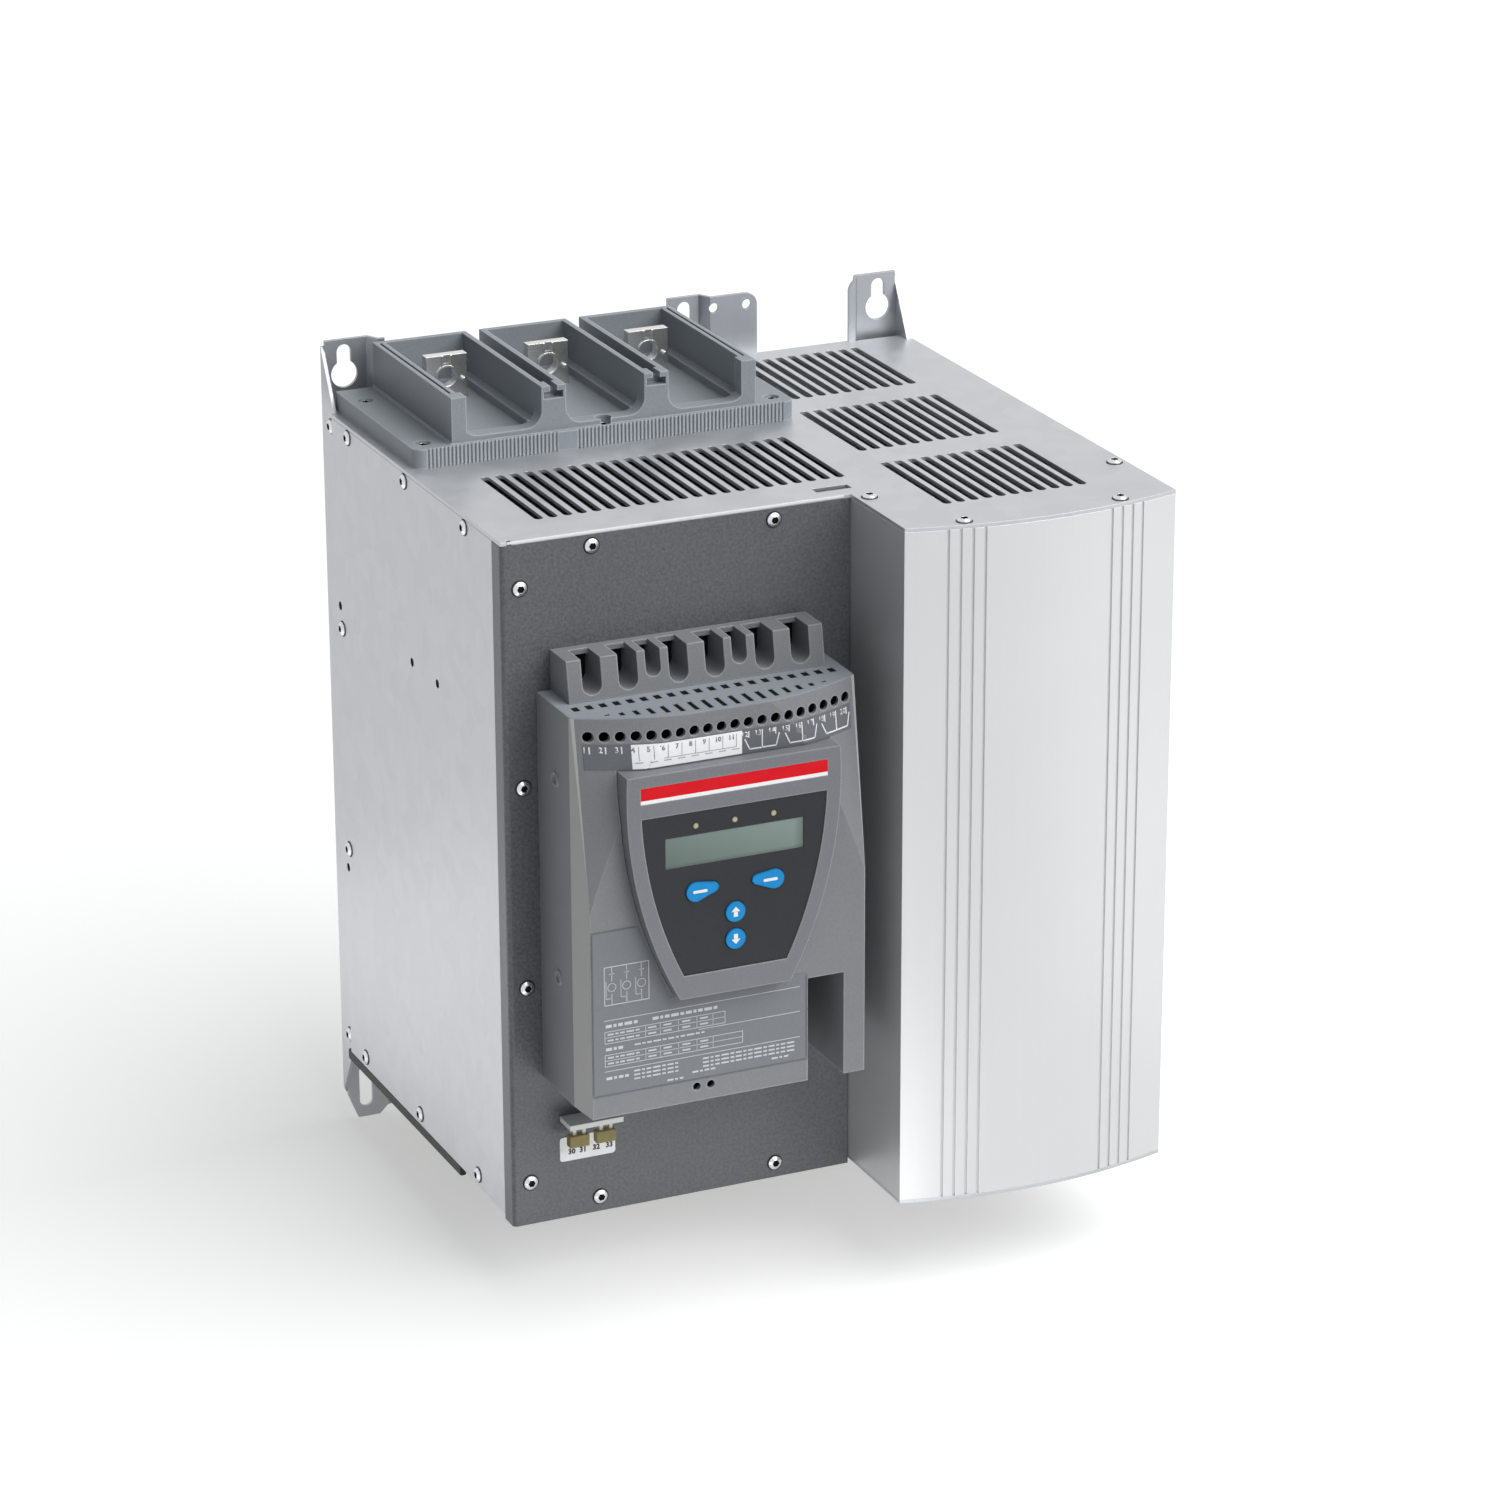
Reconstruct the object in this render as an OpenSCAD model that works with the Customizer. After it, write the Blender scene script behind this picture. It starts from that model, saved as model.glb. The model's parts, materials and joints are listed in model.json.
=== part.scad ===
// Three-phase motor soft starter with a built-in bypass contactor, hung on a wall by its back plate.
// X runs to the right across the front, Y from the front back to the wall, Z up; the front faces -Y.
// The origin lies on the wall, midway between the circles of the two outer keyholes.

/* [Case] */
// Width of the case over its side panels
case_w = 350; // [346:1:362]
// Height of the case over its top and bottom plates
case_h = 376; // [370:1:396]
// Depth from the wall to the face of the front panel
front_d = 265; // [262:1:275]
// Thickness of the back, top, bottom and front sheets
sheet_t = 2; // [1.6:0.1:2.2]
// Thickness of the side panels
side_t = 1.5; // [1.2:0.1:1.8]
// Depth at which the side panels begin, in front of the back plate's bare flange
side_rear = 19; // [18.5:0.1:20]
// Depth of the folds along the edges of the front panel
front_fold = 12; // [9:0.5:14]
// Outer radius of the front panel's left fold
front_r = 2.5; // [1:0.1:2.8]
// How far the front panel hangs below the case
front_drop = 3; // [1:0.5:5]
// Depth of the folds of the top and bottom plates behind the side panels
plate_fold = 12; // [11:0.5:16]
// Gap between neighbouring sheets
sheet_gap = 0.2; // [0.1:0.05:0.3]

/* [Back plate] */
// Width of the strips that lie on the wall at both sides
strip_w = 27; // [25:0.5:29]
// Width of the middle strip that lies on the wall
mid_strip_w = 20; // [18:0.5:21]
// Distance of the middle strip's middle inside the shroud's right end
mid_strip_in = 8; // [6:0.5:10]
// Step between the wall strips and the rest of the back plate
joggle_d = 7; // [5:0.5:8]
// Run of that step
joggle_run = 4; // [2:0.5:4.5]
// Depth of the folded side flanges
flange_d = 34; // [32:0.5:36]
// Depth of the gussets beside the ears
gusset_d = 18; // [14:0.5:18.4]
// Height of the gussets beside the ears
gusset_h = 33; // [26:0.5:34]
// Height of the upper ears above the case
ear_up = 36; // [35:0.5:40]
// Reach of the lower ears below the case
ear_down = 49.5; // [47:0.5:54]
// Width of the cut outer corners of the lower ears
ear_cut_w = 8; // [6:0.5:9]
// Height of the cut outer corners of the lower ears
ear_cut_h = 20; // [14:0.5:22]
// Size of the cut inner corners of the lower ears
ear_cut_in = 13; // [10:0.5:14]
// Width of the plain part of the upper ears past their step
ear_tail = 3; // [1:0.5:5]
// Width of the middle bracket to the right of its keyhole
bracket_w = 41.5; // [40:0.5:46]
// Corner radius of the brackets
bracket_r = 7; // [4:0.5:8]
// Radius of the two holes in the middle bracket
bracket_hole_r = 2.8; // [2.2:0.1:3.2]
// Distance between the two holes in the middle bracket
bracket_hole_pitch = 20; // [18:0.5:21]
// Distance of the keyholes from the sides
keyhole_x = 14.3; // [13.5:0.1:15]
// Height of the keyhole circles above the case
keyhole_z = 16.4; // [15:0.1:17]
// Radius of the keyhole circles
keyhole_r = 7.6; // [7:0.1:8]
// Height of the keyhole necks above their circles
neck_h = 12.5; // [11:0.1:13]
// Radius of the keyhole necks
neck_r = 4.1; // [3.5:0.1:4.2]
// Length of the slots in the lower ears
slot_len = 25.5; // [22:0.5:28]
// Width of the slots in the lower ears
slot_w = 8; // [7:0.1:9]
// Distance of these slots below the case, to their middle
slot_z = 30.3; // [28:0.1:32]

/* [Aluminium cover] */
// Width of the section behind the aluminium cover
cover_w = 155.5; // [154.5:0.5:158]
// Depth from the wall to the corners of the cover
cover_d = 329; // [326:0.5:336]
// Rise of the bowed front
cover_bow = 11.5; // [8:0.5:14]
// Wall of the extrusion
cover_t = 3; // [2.2:0.1:3.4]
// How far its legs reach behind the front panel's face
leg_back = 5; // [4:0.5:5.5]
// Distance of the first groove from the corner
groove_first = 22; // [16:0.5:26]
// Distance between grooves
groove_pitch = 6.5; // [5:0.1:7]
// Width of a groove
groove_w = 1.4; // [0.8:0.1:2]
// Depth of a groove
groove_depth = 0.9; // [0.5:0.1:1.2]
// Outer radius of the screw channels
channel_r = 4.5; // [4:0.1:5]
// Distance of the front screw channels from the corners
channel_x = 33; // [30:0.5:38]

/* [Vents] */
// Width of a vent slot
vent_w = 4.8; // [4:0.1:5.2]
// Length of a vent slot
vent_len = 78; // [70:0.5:80]
// How far the slots in front of the terminals reach past the cover's edge
vent_over = 8; // [5:0.5:9]
// Distance between the slots over the heat sinks
sink_vent_pitch = 7.8; // [7.2:0.05:8]
// Depth of the middle of the slots in front of the terminals
vent_y = 198; // [194:0.5:200]
// Distance of the first of these slots from the left side
vent_x = 33; // [28:0.5:36]
// Length of the small slot at the plate's front edge
edge_slot_len = 20; // [14:0.5:22]
// Width of the small slot at the plate's front edge
edge_slot_w = 6.5; // [4:0.5:8]

/* [Terminal shrouds] */
// Distance of the shrouds from the left side
shroud_x = 5; // [4:0.1:6]
// Distance of the shrouds from the right side
shroud_right = 126; // [124:0.5:131]
// Depth from the wall to the rear of the shrouds
shroud_rear = 13; // [11:0.5:14]
// Depth of the line shroud's base
line_shroud_d = 120; // [117:0.5:126]
// Thickness of the line shroud's base
line_base_t = 10.5; // [8:0.5:11]
// Height of the line shroud
line_shroud_h = 35.5; // [34.5:0.5:40]
// Distance of the load shroud from the left side
load_shroud_x = 4; // [3.8:0.1:4.5]
// Depth of the load shroud's base
load_shroud_d = 174; // [160:0.5:178]
// Thickness of the load shroud's base
load_base_t = 4; // [3:0.1:5]
// Height of the load shroud
load_shroud_h = 24; // [23:0.5:28]
// Corner radius of the bases
shroud_r = 6; // [4:0.5:8]
// Width from the clear width of one terminal bay to the next
bay_between = 14; // [13:0.5:16]
// Room at the bases' ends beside the three bays
bay_margin = 21; // [20.5:0.5:22.5]
// Thickness of the walls between bays
bay_wall = 3; // [2:0.1:3.4]
// Thickness of the outermost walls
outer_wall = 6; // [5:0.1:7]
// Distance from the shrouds' rear to the front of the bay walls
bay_len = 117; // [115:0.5:117]
// Depth of the posts at the bays' front corners
post_d = 9; // [7:0.5:11]
// Width of the posts at the outer walls
post_w = 8.5; // [7.5:0.5:9]
// Height of the sill across a bay's front
sill_h = 3; // [2:0.5:3.5]
// Radius of the coves at the posts' feet
cove_r = 9; // [7:0.5:10]
// Size of the slanted feet outside the outermost walls
foot_slant = 1; // [0.5:0.5:5]
// Size of the ribs along the feet of the bay walls
foot_rib = 5; // [4:0.5:6]
// Width of the neck of a post's barrier slot
barrier_neck = 4; // [3:0.1:5]
// Width of the head of a post's barrier slot
barrier_head = 11; // [9:0.5:12]
// Height of the neck of a barrier slot
barrier_neck_h = 3; // [2:0.1:3.5]
// Height of the head of a barrier slot
barrier_head_h = 4; // [3:0.5:5]
// Width of the groove along the outer walls
wall_groove_w = 1.6; // [1:0.1:2]
// Depth of the groove along the outer walls
wall_groove_d = 2; // [1:0.1:3]
// Distance between the ribs on the base's front edge
edge_rib_pitch = 2.19; // [2.1:0.01:2.4]
// Depth of these ribs
edge_rib_d = 0.9; // [0.5:0.1:1.2]
// Width of the plain block between the ribs
edge_block_w = 11; // [9:0.5:12]
// Middle of the plain block, from the base's left end
edge_block_x = 86.5; // [84:0.5:90]
// Distance of the middle shroud screw from the base's front edge
shroud_screw_y = 6.5; // [6:0.1:8]
// Distance of the shroud screws from the base's ends
shroud_screw_x = 9; // [8:0.1:10]

/* [Busbars] */
// Width of a bar
bar_w = 23.5; // [22:0.5:26]
// Thickness of a bar
bar_t = 6; // [5:0.1:7]
// Depth from the wall to the front of the bars' terminal ends
bar_y = 50; // [48:0.5:52]
// Height of the line bars above the case
line_bar_h = 34.5; // [33:0.5:36]
// Distance of the terminal hole from a line bar's end
line_hole_z = 12; // [11:0.5:13]
// Reach of the load bars below the case
load_bar_h = 22; // [21:0.5:23]
// Distance of the terminal hole from a load bar's end
load_hole_z = 9; // [8:0.5:9.5]
// Radius of a terminal hole
terminal_hole_r = 5.25; // [4.5:0.05:5.5]
// Width of the groove between a terminal hole and the bar's end
terminal_groove_w = 4; // [3:0.1:5]
// Depth of that groove
terminal_groove_d = 1.2; // [0.6:0.1:1.6]
// Height of the line bars' branches over the middle of the case
line_leg_z = 77; // [74:0.5:78]
// Depth of the load bars' branches below the middle of the case
load_leg_z = 97; // [94:0.5:98]
// Room around the bars where they pass through
bar_gap = 0.6; // [0.4:0.1:0.9]

/* [Control unit] */
// Width of the housing
unit_w = 158; // [156:0.5:160]
// Distance of the housing's ledge below the top of the case
ledge_z = 82; // [80:0.5:84]
// Height of the housing
unit_h = 213.5; // [210:0.5:220]
// Depth of the housing at its flat face
unit_d = 62; // [60:0.5:63]
// Depth of the ledge at its ends
ledge_d = 41; // [39:0.5:43]
// Rise of the ledge's bowed front
ledge_bow = 20; // [18:0.5:20.5]
// Lean of the bowed front
front_lean = 10; // [8:0.5:12]
// Depth of the housing's plain sides
unit_side_d = 42; // [40:0.5:43]
// Width of the slanted strips between sides and face
unit_bevel = 2; // [1:0.1:5]
// Wall of the housing
unit_t = 2.5; // [2:0.1:2.8]
// Width of the cut-out at the housing's foot
foot_cut_w = 20.6; // [18:0.1:21]
// Height of the cut-out at the housing's foot
foot_cut_h = 57.5; // [54:0.5:61]
// Width of the leg beside the cut-out
foot_leg_w = 14; // [12:0.1:15]
// Distance between control terminals
pole_pitch = 7.5; // [7.4:0.01:7.62]
// Radius of the screw holes in the band
pole_hole_r = 2.7; // [2.3:0.1:2.8]
// Distance of the screw holes below the ledge
pole_hole_z = 9.5; // [8.5:0.1:10.5]
// Size of the rear ledge vents across
ledge_vent_w = 3.6; // [3:0.1:4.6]
// Size of the rear ledge vents front to back
ledge_vent_l = 6.4; // [3:0.1:7]
// Depth of the rear ledge vents from the front panel
ledge_vent_y = 32.2; // [31:0.1:33]
// Width of the ledge slots in front of them
ledge_slot_w = 2.6; // [2.2:0.1:3.4]
// Depth at which the ledge slots begin
ledge_slot_y = 45.5; // [43:0.1:46]
// Rim left in front of the ledge slots
ledge_rim = 2.2; // [1.8:0.1:3.2]
// Radius of the moulded rings on the housing's sides
ring_r = 4; // [3:0.1:5]
// Height of the moulded rings
ring_h = 0.8; // [0.3:0.1:0.9]
// Radius of the two small holes near the foot
test_hole_r = 2.2; // [1.4:0.1:2.4]
// Width of the cable comb
comb_w = 142.5; // [138:0.5:144]
// Depth of the cable comb
comb_d = 21; // [18:0.5:23]
// Height of the cable comb
comb_h = 21.7; // [20:0.1:24]
// Back wall of the cable comb
comb_back = 1.5; // [1.2:0.1:3]
// Width of a wide comb slot
comb_slot_w = 10.6; // [9:0.1:11]
// Depth of a wide comb slot
comb_slot_h = 18.7; // [17:0.1:19]
// Width of a narrow comb slot
comb_narrow_w = 8.3; // [7:0.1:8.8]
// Depth of a narrow comb slot
comb_narrow_h = 14; // [12:0.1:16]
// Height of the bar across the comb's back
comb_bar_h = 3; // [2:0.1:4]
// Depth of that bar
comb_bar_d = 5; // [4:0.1:6]

/* [Keypad] */
// Distance of the bezel's top edge below the ledge
bezel_z = 26.8; // [25.5:0.1:28]
// Height of the bezel
bezel_h = 125; // [124:0.5:128]
// Width of the bezel at its shoulders
bezel_w = 119; // [117:0.5:120]
// Width of the bezel at its foot
bezel_foot_w = 62; // [60:0.5:70]
// Distance of the bezel's widest line below its top edge
bezel_wide_z = 13.5; // [10:0.5:16]
// Depth of the bezel's face from the front panel
bezel_d = 70; // [69.5:0.1:73]
// Depth of the bezel behind its face
bezel_body = 17; // [16:0.1:18]
// Gap between the bezel and the housing
bezel_gap = 0.25; // [0.15:0.05:0.4]
// Rim beside the keypad panel
rim_side = 7.9; // [7:0.1:9]
// Rim above the keypad panel
rim_top = 23.2; // [23:0.1:25]
// Rim below the keypad panel
rim_foot = 12.8; // [12:0.1:15]
// Width of the shoulder that carries the keypad panel
shoulder_w = 3; // [2.4:0.1:3.2]
// Thickness of the keypad panel
pad_t = 1.6; // [1.2:0.1:1.7]
// Depth of the keypad panel's seat below the bezel's face
pad_seat = 2; // [1.8:0.1:2.4]
// Width of the accent strip
strip_len = 103.6; // [96:0.1:104]
// Height of the accent strip
strip_h = 8.7; // [7:0.1:9]
// Thickness of the accent strip
strip_t = 0.5; // [0.3:0.1:0.8]
// Distance of the accent strip below the bezel's top edge
strip_z = 6.4; // [5:0.1:7]
// Width of the display window
display_w = 76.8; // [72:0.1:80]
// Height of the display window
display_h = 16.8; // [14:0.1:17.2]
// Distance of the display's middle below the ledge
display_z = 70.9; // [70.6:0.1:71.2]
// Thickness of the display glass
glass_t = 1.3; // [0.9:0.1:1.5]
// Distance of the status lights below the ledge
light_z = 57.8; // [57:0.1:58]
// Distance between status lights
light_pitch = 21.6; // [19:0.1:23]
// Radius of a status light
light_r = 1.5; // [1.1:0.1:1.7]
// Distance of the side keys below the ledge
side_key_z = 93; // [92.6:0.1:93.4]
// Distance of the side keys from the middle
side_key_x = 17; // [16.5:0.1:19]
// Distance of the up key below the ledge
up_key_z = 108.1; // [107.6:0.1:108.4]
// Distance of the down key below the ledge
down_key_z = 123; // [122.6:0.1:123.4]
// Radius of the round keys
round_key_r = 5.5; // [5:0.1:5.7]
// Radius of a side key's thick end
drop_r = 5.3; // [5:0.1:5.6]
// Radius of a side key's thin end
drop_tip_r = 2.7; // [2.4:0.1:3.4]
// Distance between the ends of a side key
drop_len = 10; // [9.5:0.1:11]
// Slant of the side keys
drop_slant = 7; // [4:0.5:12]
// Height of the keys above the keypad panel
key_rise = 0.8; // [0.5:0.1:1.2]
// Gap around the keys
key_gap = 0.3; // [0.25:0.05:0.4]
// Width of the flange that holds a key behind the panel
key_lip = 0.8; // [0.6:0.05:0.9]
// Thickness of that flange
key_lip_t = 1.2; // [0.8:0.1:1.6]
// Travel of the keys
key_travel = 1.2; // [0.8:0.1:1.4]
// Thickness of the circuit boards
board_t = 1.6; // [1.2:0.1:2]

/* [Pin header] */
// Width of the pin header
header_w = 30.3; // [28:0.1:32]
// Height of the pin header
header_h = 2.9; // [2:0.1:6]
// Depth of the pin header
header_d = 14; // [11:0.5:16]
// Distance of the pin header below the control unit
header_z = 24.6; // [22:0.1:26]
// Distance of the pin header from the front panel's left edge
header_x = 27.2; // [25:0.1:30]
// Length of the header's pins
header_pin_l = 3.6; // [1.6:0.1:4]
// Width of a plug
plug_w = 10.8; // [9:0.1:11.4]
// Height of a plug
plug_h = 6.3; // [5:0.1:7]
// Depth of a plug
plug_d = 5; // [4:0.1:9]

/* [Power section] */
// Depth of the rear heat sink's middle
row_first = 60; // [59:0.5:61]
// Distance between the heat sinks
row_pitch = 101; // [100:0.5:102]
// Size of a fan and of the heat sink above it
fan_w = 80; // [78:0.5:81]
// Height of a fan frame
fan_h = 25; // [24:0.5:28]
// Radius of the fan frame's opening
fan_r = 38; // [37.5:0.1:38.4]
// Radius of a fan rotor over its blades
rotor_r = 36.5; // [35.5:0.1:36.6]
// Radius of a fan rotor's hub
hub_r = 15; // [13:0.1:17]
// Radius of a fan shaft
fan_shaft_r = 2; // [1.5:0.1:2.5]
// Radial room between a rotor and its shaft
shaft_gap = 0.05; // [0.02:0.01:0.08]
// Pitch angle of the fan blades
blade_pitch = 35; // [28:1:40]
// Height of the heat sinks' top over the middle of the case
sink_top = 130; // [124:1:136]
// Thickness of a heat sink's root
sink_root = 12; // [10:0.5:14]
// Thickness of a heat sink's fins
fin_t = 2.2; // [1.6:0.1:2.6]
// Depth of a heat sink
sink_d = 76; // [74:0.5:77]
// Thickness of a thyristor block's body
block_t = 18; // [16:0.5:19]
// Depth of a thyristor block
block_d = 60; // [58:0.5:64]
// Height of a thyristor block
block_h = 206; // [200:1:210]
// Thickness of a thyristor block's contact pads
contact_t = 6; // [5:0.1:7]
// Size of a thyristor block's contact pads
contact_w = 30; // [28:0.5:32]
// Shift of the contact pads from the blocks' middle
contact_shift = 15; // [14:0.5:15]
// Width of a current transformer
transformer_w = 44; // [40:0.5:48]
// Depth of a current transformer
transformer_d = 34; // [30:0.5:36]
// Height of a current transformer
transformer_h = 30; // [26:0.5:34]

/* [Bypass contactor] */
// Width of the contactor beyond the middles of its outer poles
contactor_over = 43; // [38:0.5:44]
// Depth of the contactor's base
contactor_base_d = 60; // [58:0.5:62]
// Depth of the contactor over its head
contactor_d = 109; // [104:0.5:114]
// Height of the contactor's base
contactor_h = 140; // [136:0.5:142]
// Height of the contactor's head
contactor_head_h = 100; // [92:0.5:104]
// Width of the contactor beside the contact carrier
carrier_side = 20.5; // [18:0.5:24]
// Height of the contact carrier
carrier_h = 24; // [20:0.5:28]
// Length of the contact carrier
carrier_l = 28; // [24:0.5:30]
// Travel of the contact carrier
carrier_travel = 7; // [5:0.1:8]
// Gap around the contact carrier
carrier_gap = 0.3; // [0.3:0.05:0.5]
// Depth of the contact carrier's front behind the contactor's face
carrier_sunk = 2; // [1:0.1:3]

/* [Gate board] */
// Room beside the gate board
gate_side = 17.25; // [15:0.25:20]
// Height of the gate board
gate_h = 150; // [140:0.5:152]
// Length of the spacers that carry it
spacer_l = 16; // [14:0.5:18]
// Radius of a spacer
spacer_r = 3.5; // [3:0.1:4.5]

/* [Fasteners] */
// Radius of a screw head
head_r = 3.8; // [3.4:0.1:3.9]
// Height of a screw head
head_h = 2.2; // [1.8:0.1:2.6]
// Radius of a screw shank
shank_r = 1.9; // [1.5:0.1:2]
// Length of a screw shank
shank_l = 6; // [5:0.1:7]
// Width of the sockets across their flats
socket_w = 3.6; // [2.6:0.1:3.8]
// Depth of the sockets
socket_d = 1.5; // [1:0.1:1.7]
// Gap around the shanks
shank_gap = 0.1; // [0.05:0.05:0.2]
// Distance of the screws from the edges of the sides
side_screw_z = 6.5; // [6.2:0.1:7]
// Distance of the front panel's screws from its left edge
front_screw_x = 10; // [9:0.1:11]

/* [Hidden] */
$fn = 48;
slack = 1;
left_x = -case_w / 2;
right_x = case_w / 2;
top_z = -keyhole_z;
bottom_z = top_z - case_h;
middle_z = (top_z + bottom_z) / 2;
cover_x = right_x - cover_w;
cover_cx = right_x - cover_w / 2;
cover_front = cover_d + cover_bow;
cover_radius = (cover_w * cover_w / 4 + cover_bow * cover_bow) / (2 * cover_bow);
panel_cx = (left_x + cover_x) / 2;
panel_w = cover_x - left_x;
vent_count = 22;
vent_pitch = (panel_w - vent_x + vent_over) / (vent_count - 1);
gate_w = panel_w - 2 * gate_side;
plate_rear = joggle_d + sheet_t;
mid_x = left_x + case_w - shroud_right - mid_strip_in;
flange_x = left_x + side_t;
hole_r = shank_r + shank_gap;
row_y = [for (i = [0:2]) -row_first - i * row_pitch];
shroud_w = case_w - shroud_x - shroud_right;
bay_pitch = (shroud_w - 2 * bay_margin) / 3;
bay_w = bay_pitch - bay_between;
contactor_w = 2 * bay_pitch + contactor_over;
carrier_w = contactor_w - 2 * carrier_side;
bay_cx = left_x + shroud_x + shroud_w / 2;
bay_x = [for (i = [-1:1]) bay_cx + i * bay_pitch];
load_shroud_w = shroud_w + 2 * (shroud_x - load_shroud_x);
floor_z = bottom_z + sheet_t;
sink_x = cover_cx - fan_w / 2;
block_x = sink_x - block_t;
pad_x = block_x - contact_t;
contactor_z = middle_z - 10;
contactor_top = contactor_z + contactor_h / 2;
contactor_foot = contactor_z - contactor_h / 2;
unit_top = top_z - ledge_z;
unit_foot = unit_top - unit_h;
ledge_radius = (unit_w * unit_w / 4 + ledge_bow * ledge_bow) / (2 * ledge_bow);
bezel_top = unit_top - bezel_z;
bezel_foot = bezel_top - bezel_h;
bezel_drop = bezel_h - bezel_wide_z;
bezel_taper = (bezel_w - bezel_foot_w) / 2;
bezel_radius = (bezel_taper * bezel_taper + bezel_drop * bezel_drop) / (2 * bezel_taper);
pad_back = bezel_d - pad_seat;
pad_face = pad_back + pad_t;
board_face = bezel_d - bezel_body * 0.647;
board_rim = 5;
gate_y = front_d - sheet_t - spacer_l;
dome_r = head_r * 1.5;
side_rows = [[-44, side_screw_z], [-129, side_screw_z], [-215, side_screw_z],
             [-44, case_h - side_screw_z], [-129, case_h - side_screw_z], [-215, case_h - side_screw_z],
             [-27, case_h * 0.32], [-27, case_h * 0.665]];
flange_rows = [[-gusset_d + 4, side_screw_z + 2], [-gusset_d + 4, case_h - side_screw_z - 2]];
front_rows = [[front_screw_x, case_h * 0.068], [front_screw_x, case_h * 0.354],
              [front_screw_x, case_h * 0.649], [front_screw_x, case_h * 0.944], [panel_w * 0.2545, 8],
              [panel_w * 0.776, 8], [panel_w * 0.2545, case_h - 5.5], [panel_w * 0.776, case_h - 5.5]];
channels = [[cover_x + cover_t + channel_r - slack, -front_d - 9],
            [cover_x + channel_x, -cover_arc(channel_x) + cover_t + channel_r - slack],
            [right_x - channel_x, -cover_arc(channel_x) + cover_t + channel_r - slack],
            [right_x - cover_t - channel_r + slack, -front_d - 9]];
comb_wide = [10.1, 38, 58];
comb_narrow = 24;
steel = [0.74, 0.75, 0.76];
dark = [0.36, 0.37, 0.38];
grey = [0.52, 0.54, 0.56];
bright = [0.9, 0.9, 0.91];
black = [0.16, 0.16, 0.17];
tin = [0.82, 0.82, 0.8];
green = [0.1, 0.35, 0.2];
blue = [0.02, 0.5, 0.8];

// Depth of the cover's outer face at a distance from its corner
function cover_arc(d) = let (x = cover_w / 2 - d)
    cover_front - cover_radius + sqrt(cover_radius * cover_radius - x * x);

// Depth of the ledge's front edge at a distance from the middle
function ledge_arc(x) = ledge_d + ledge_bow - ledge_radius + sqrt(ledge_radius * ledge_radius - x * x);

// Unit vector to the left of the way from a to b
function left_of(a, b) = let (v = (b - a) / norm(b - a)) [-v[1], v[0]];

// A corner moved sideways by d, square to both of its sides
function corner_off(a, b, c, d) = let (m = left_of(a, b), n = left_of(b, c)) b + d * (m + n) / (1 + m * n);

// A whole path moved sideways by d
function path_off(path, d) = let (last = len(path) - 1)
    [for (i = [0:last])
        i == 0 ? path[0] + d * left_of(path[0], path[1])
        : i == last ? path[last] + d * left_of(path[last - 1], path[last])
        : corner_off(path[i - 1], path[i], path[i + 1], d)];

// Section of a sheet that is folded along a path
module folded(path, t) {
    inner = path_off(path, -t);
    polygon(concat(path, [for (i = [len(path) - 1:-1:0]) inner[i]]));
}

// Slot with round ends, along Y
module slot_2d(w, l) {
    square([w, l - w], center = true);
    for (s = [-1, 1])
        translate([0, s * (l - w) / 2])
            circle(d = w);
}

// Row of vent slots side by side along X
module vents_2d(count, pitch) {
    for (i = [0:count - 1])
        translate([i * pitch, 0])
            slot_2d(vent_w, vent_len);
}

// Square corner less its quarter circle, to round or to fill a corner
module corner_2d(r) {
    difference() {
        square(r);
        translate([r, r])
            circle(r);
    }
}

// Two round ends joined by their common tangents, as one outline
module drop_2d(grow) {
    big = drop_r + grow;
    tip = drop_tip_r + grow;
    a = acos((big - tip) / drop_len);
    steps = 16;
    rotate(drop_slant)
        polygon(concat(
            [for (i = [0:steps]) let (t = -a + 2 * a * i / steps)
                [drop_len / 2 + tip * cos(t), tip * sin(t)]],
            [for (i = [0:2 * steps]) let (t = a + (360 - 2 * a) * i / (2 * steps))
                [-drop_len / 2 + big * cos(t), big * sin(t)]]));
}

// Button-head screw standing on the plane z = 0
module screw() {
    difference() {
        union() {
            intersection() {
                cylinder(r = head_r, h = head_h);
                translate([0, 0, head_h - dome_r])
                    sphere(dome_r);
            }
            translate([0, 0, -shank_l])
                cylinder(r = shank_r, h = shank_l);
        }
        translate([0, 0, head_h - socket_d])
            cylinder(d = socket_w / cos(30), h = head_h, $fn = 6);
    }
}

// Hole for such a screw, with a plain mouth
module screw_hole() {
    translate([0, 0, -shank_l - slack])
        cylinder(r = hole_r, h = shank_l + 2 * slack);
}

// Places of the screws on one side; side is -1 on the left and 1 on the right
module at_side(side) {
    for (p = side_rows)
        translate([side * case_w / 2, p[0], top_z - p[1]])
            rotate([0, side * 90, 0])
                children();
    for (p = flange_rows)
        translate([side * (case_w / 2 - side_t), p[0], top_z - p[1]])
            rotate([0, side * 90, 0])
                children();
}

// Places of the front panel's screws
module at_front() {
    for (p = front_rows)
        translate([left_x + p[0], -front_d, top_z - p[1]])
            rotate([90, 0, 0])
                children();
}

// Places of the screws in the cover's channels, above and below
module at_channels() {
    for (p = channels) {
        translate([p[0], p[1], top_z])
            children();
        translate([p[0], p[1], bottom_z])
            mirror([0, 0, 1])
                children();
    }
}

// Places of a shroud's screws, from its width and depth
module at_shroud(w, d) {
    for (s = [-1, 1], y = [shroud_rear + 22, shroud_rear + d - 12])
        translate([bay_cx + s * (w / 2 - shroud_screw_x), -y, 0])
            children();
    translate([bay_cx, -shroud_rear - d + shroud_screw_y, 0])
        children();
}

// Frame of the control unit: x across, y up, z out of the front panel
module on_front() {
    translate([panel_cx, -front_d, 0])
        rotate([90, 0, 0])
            children();
}

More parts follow.
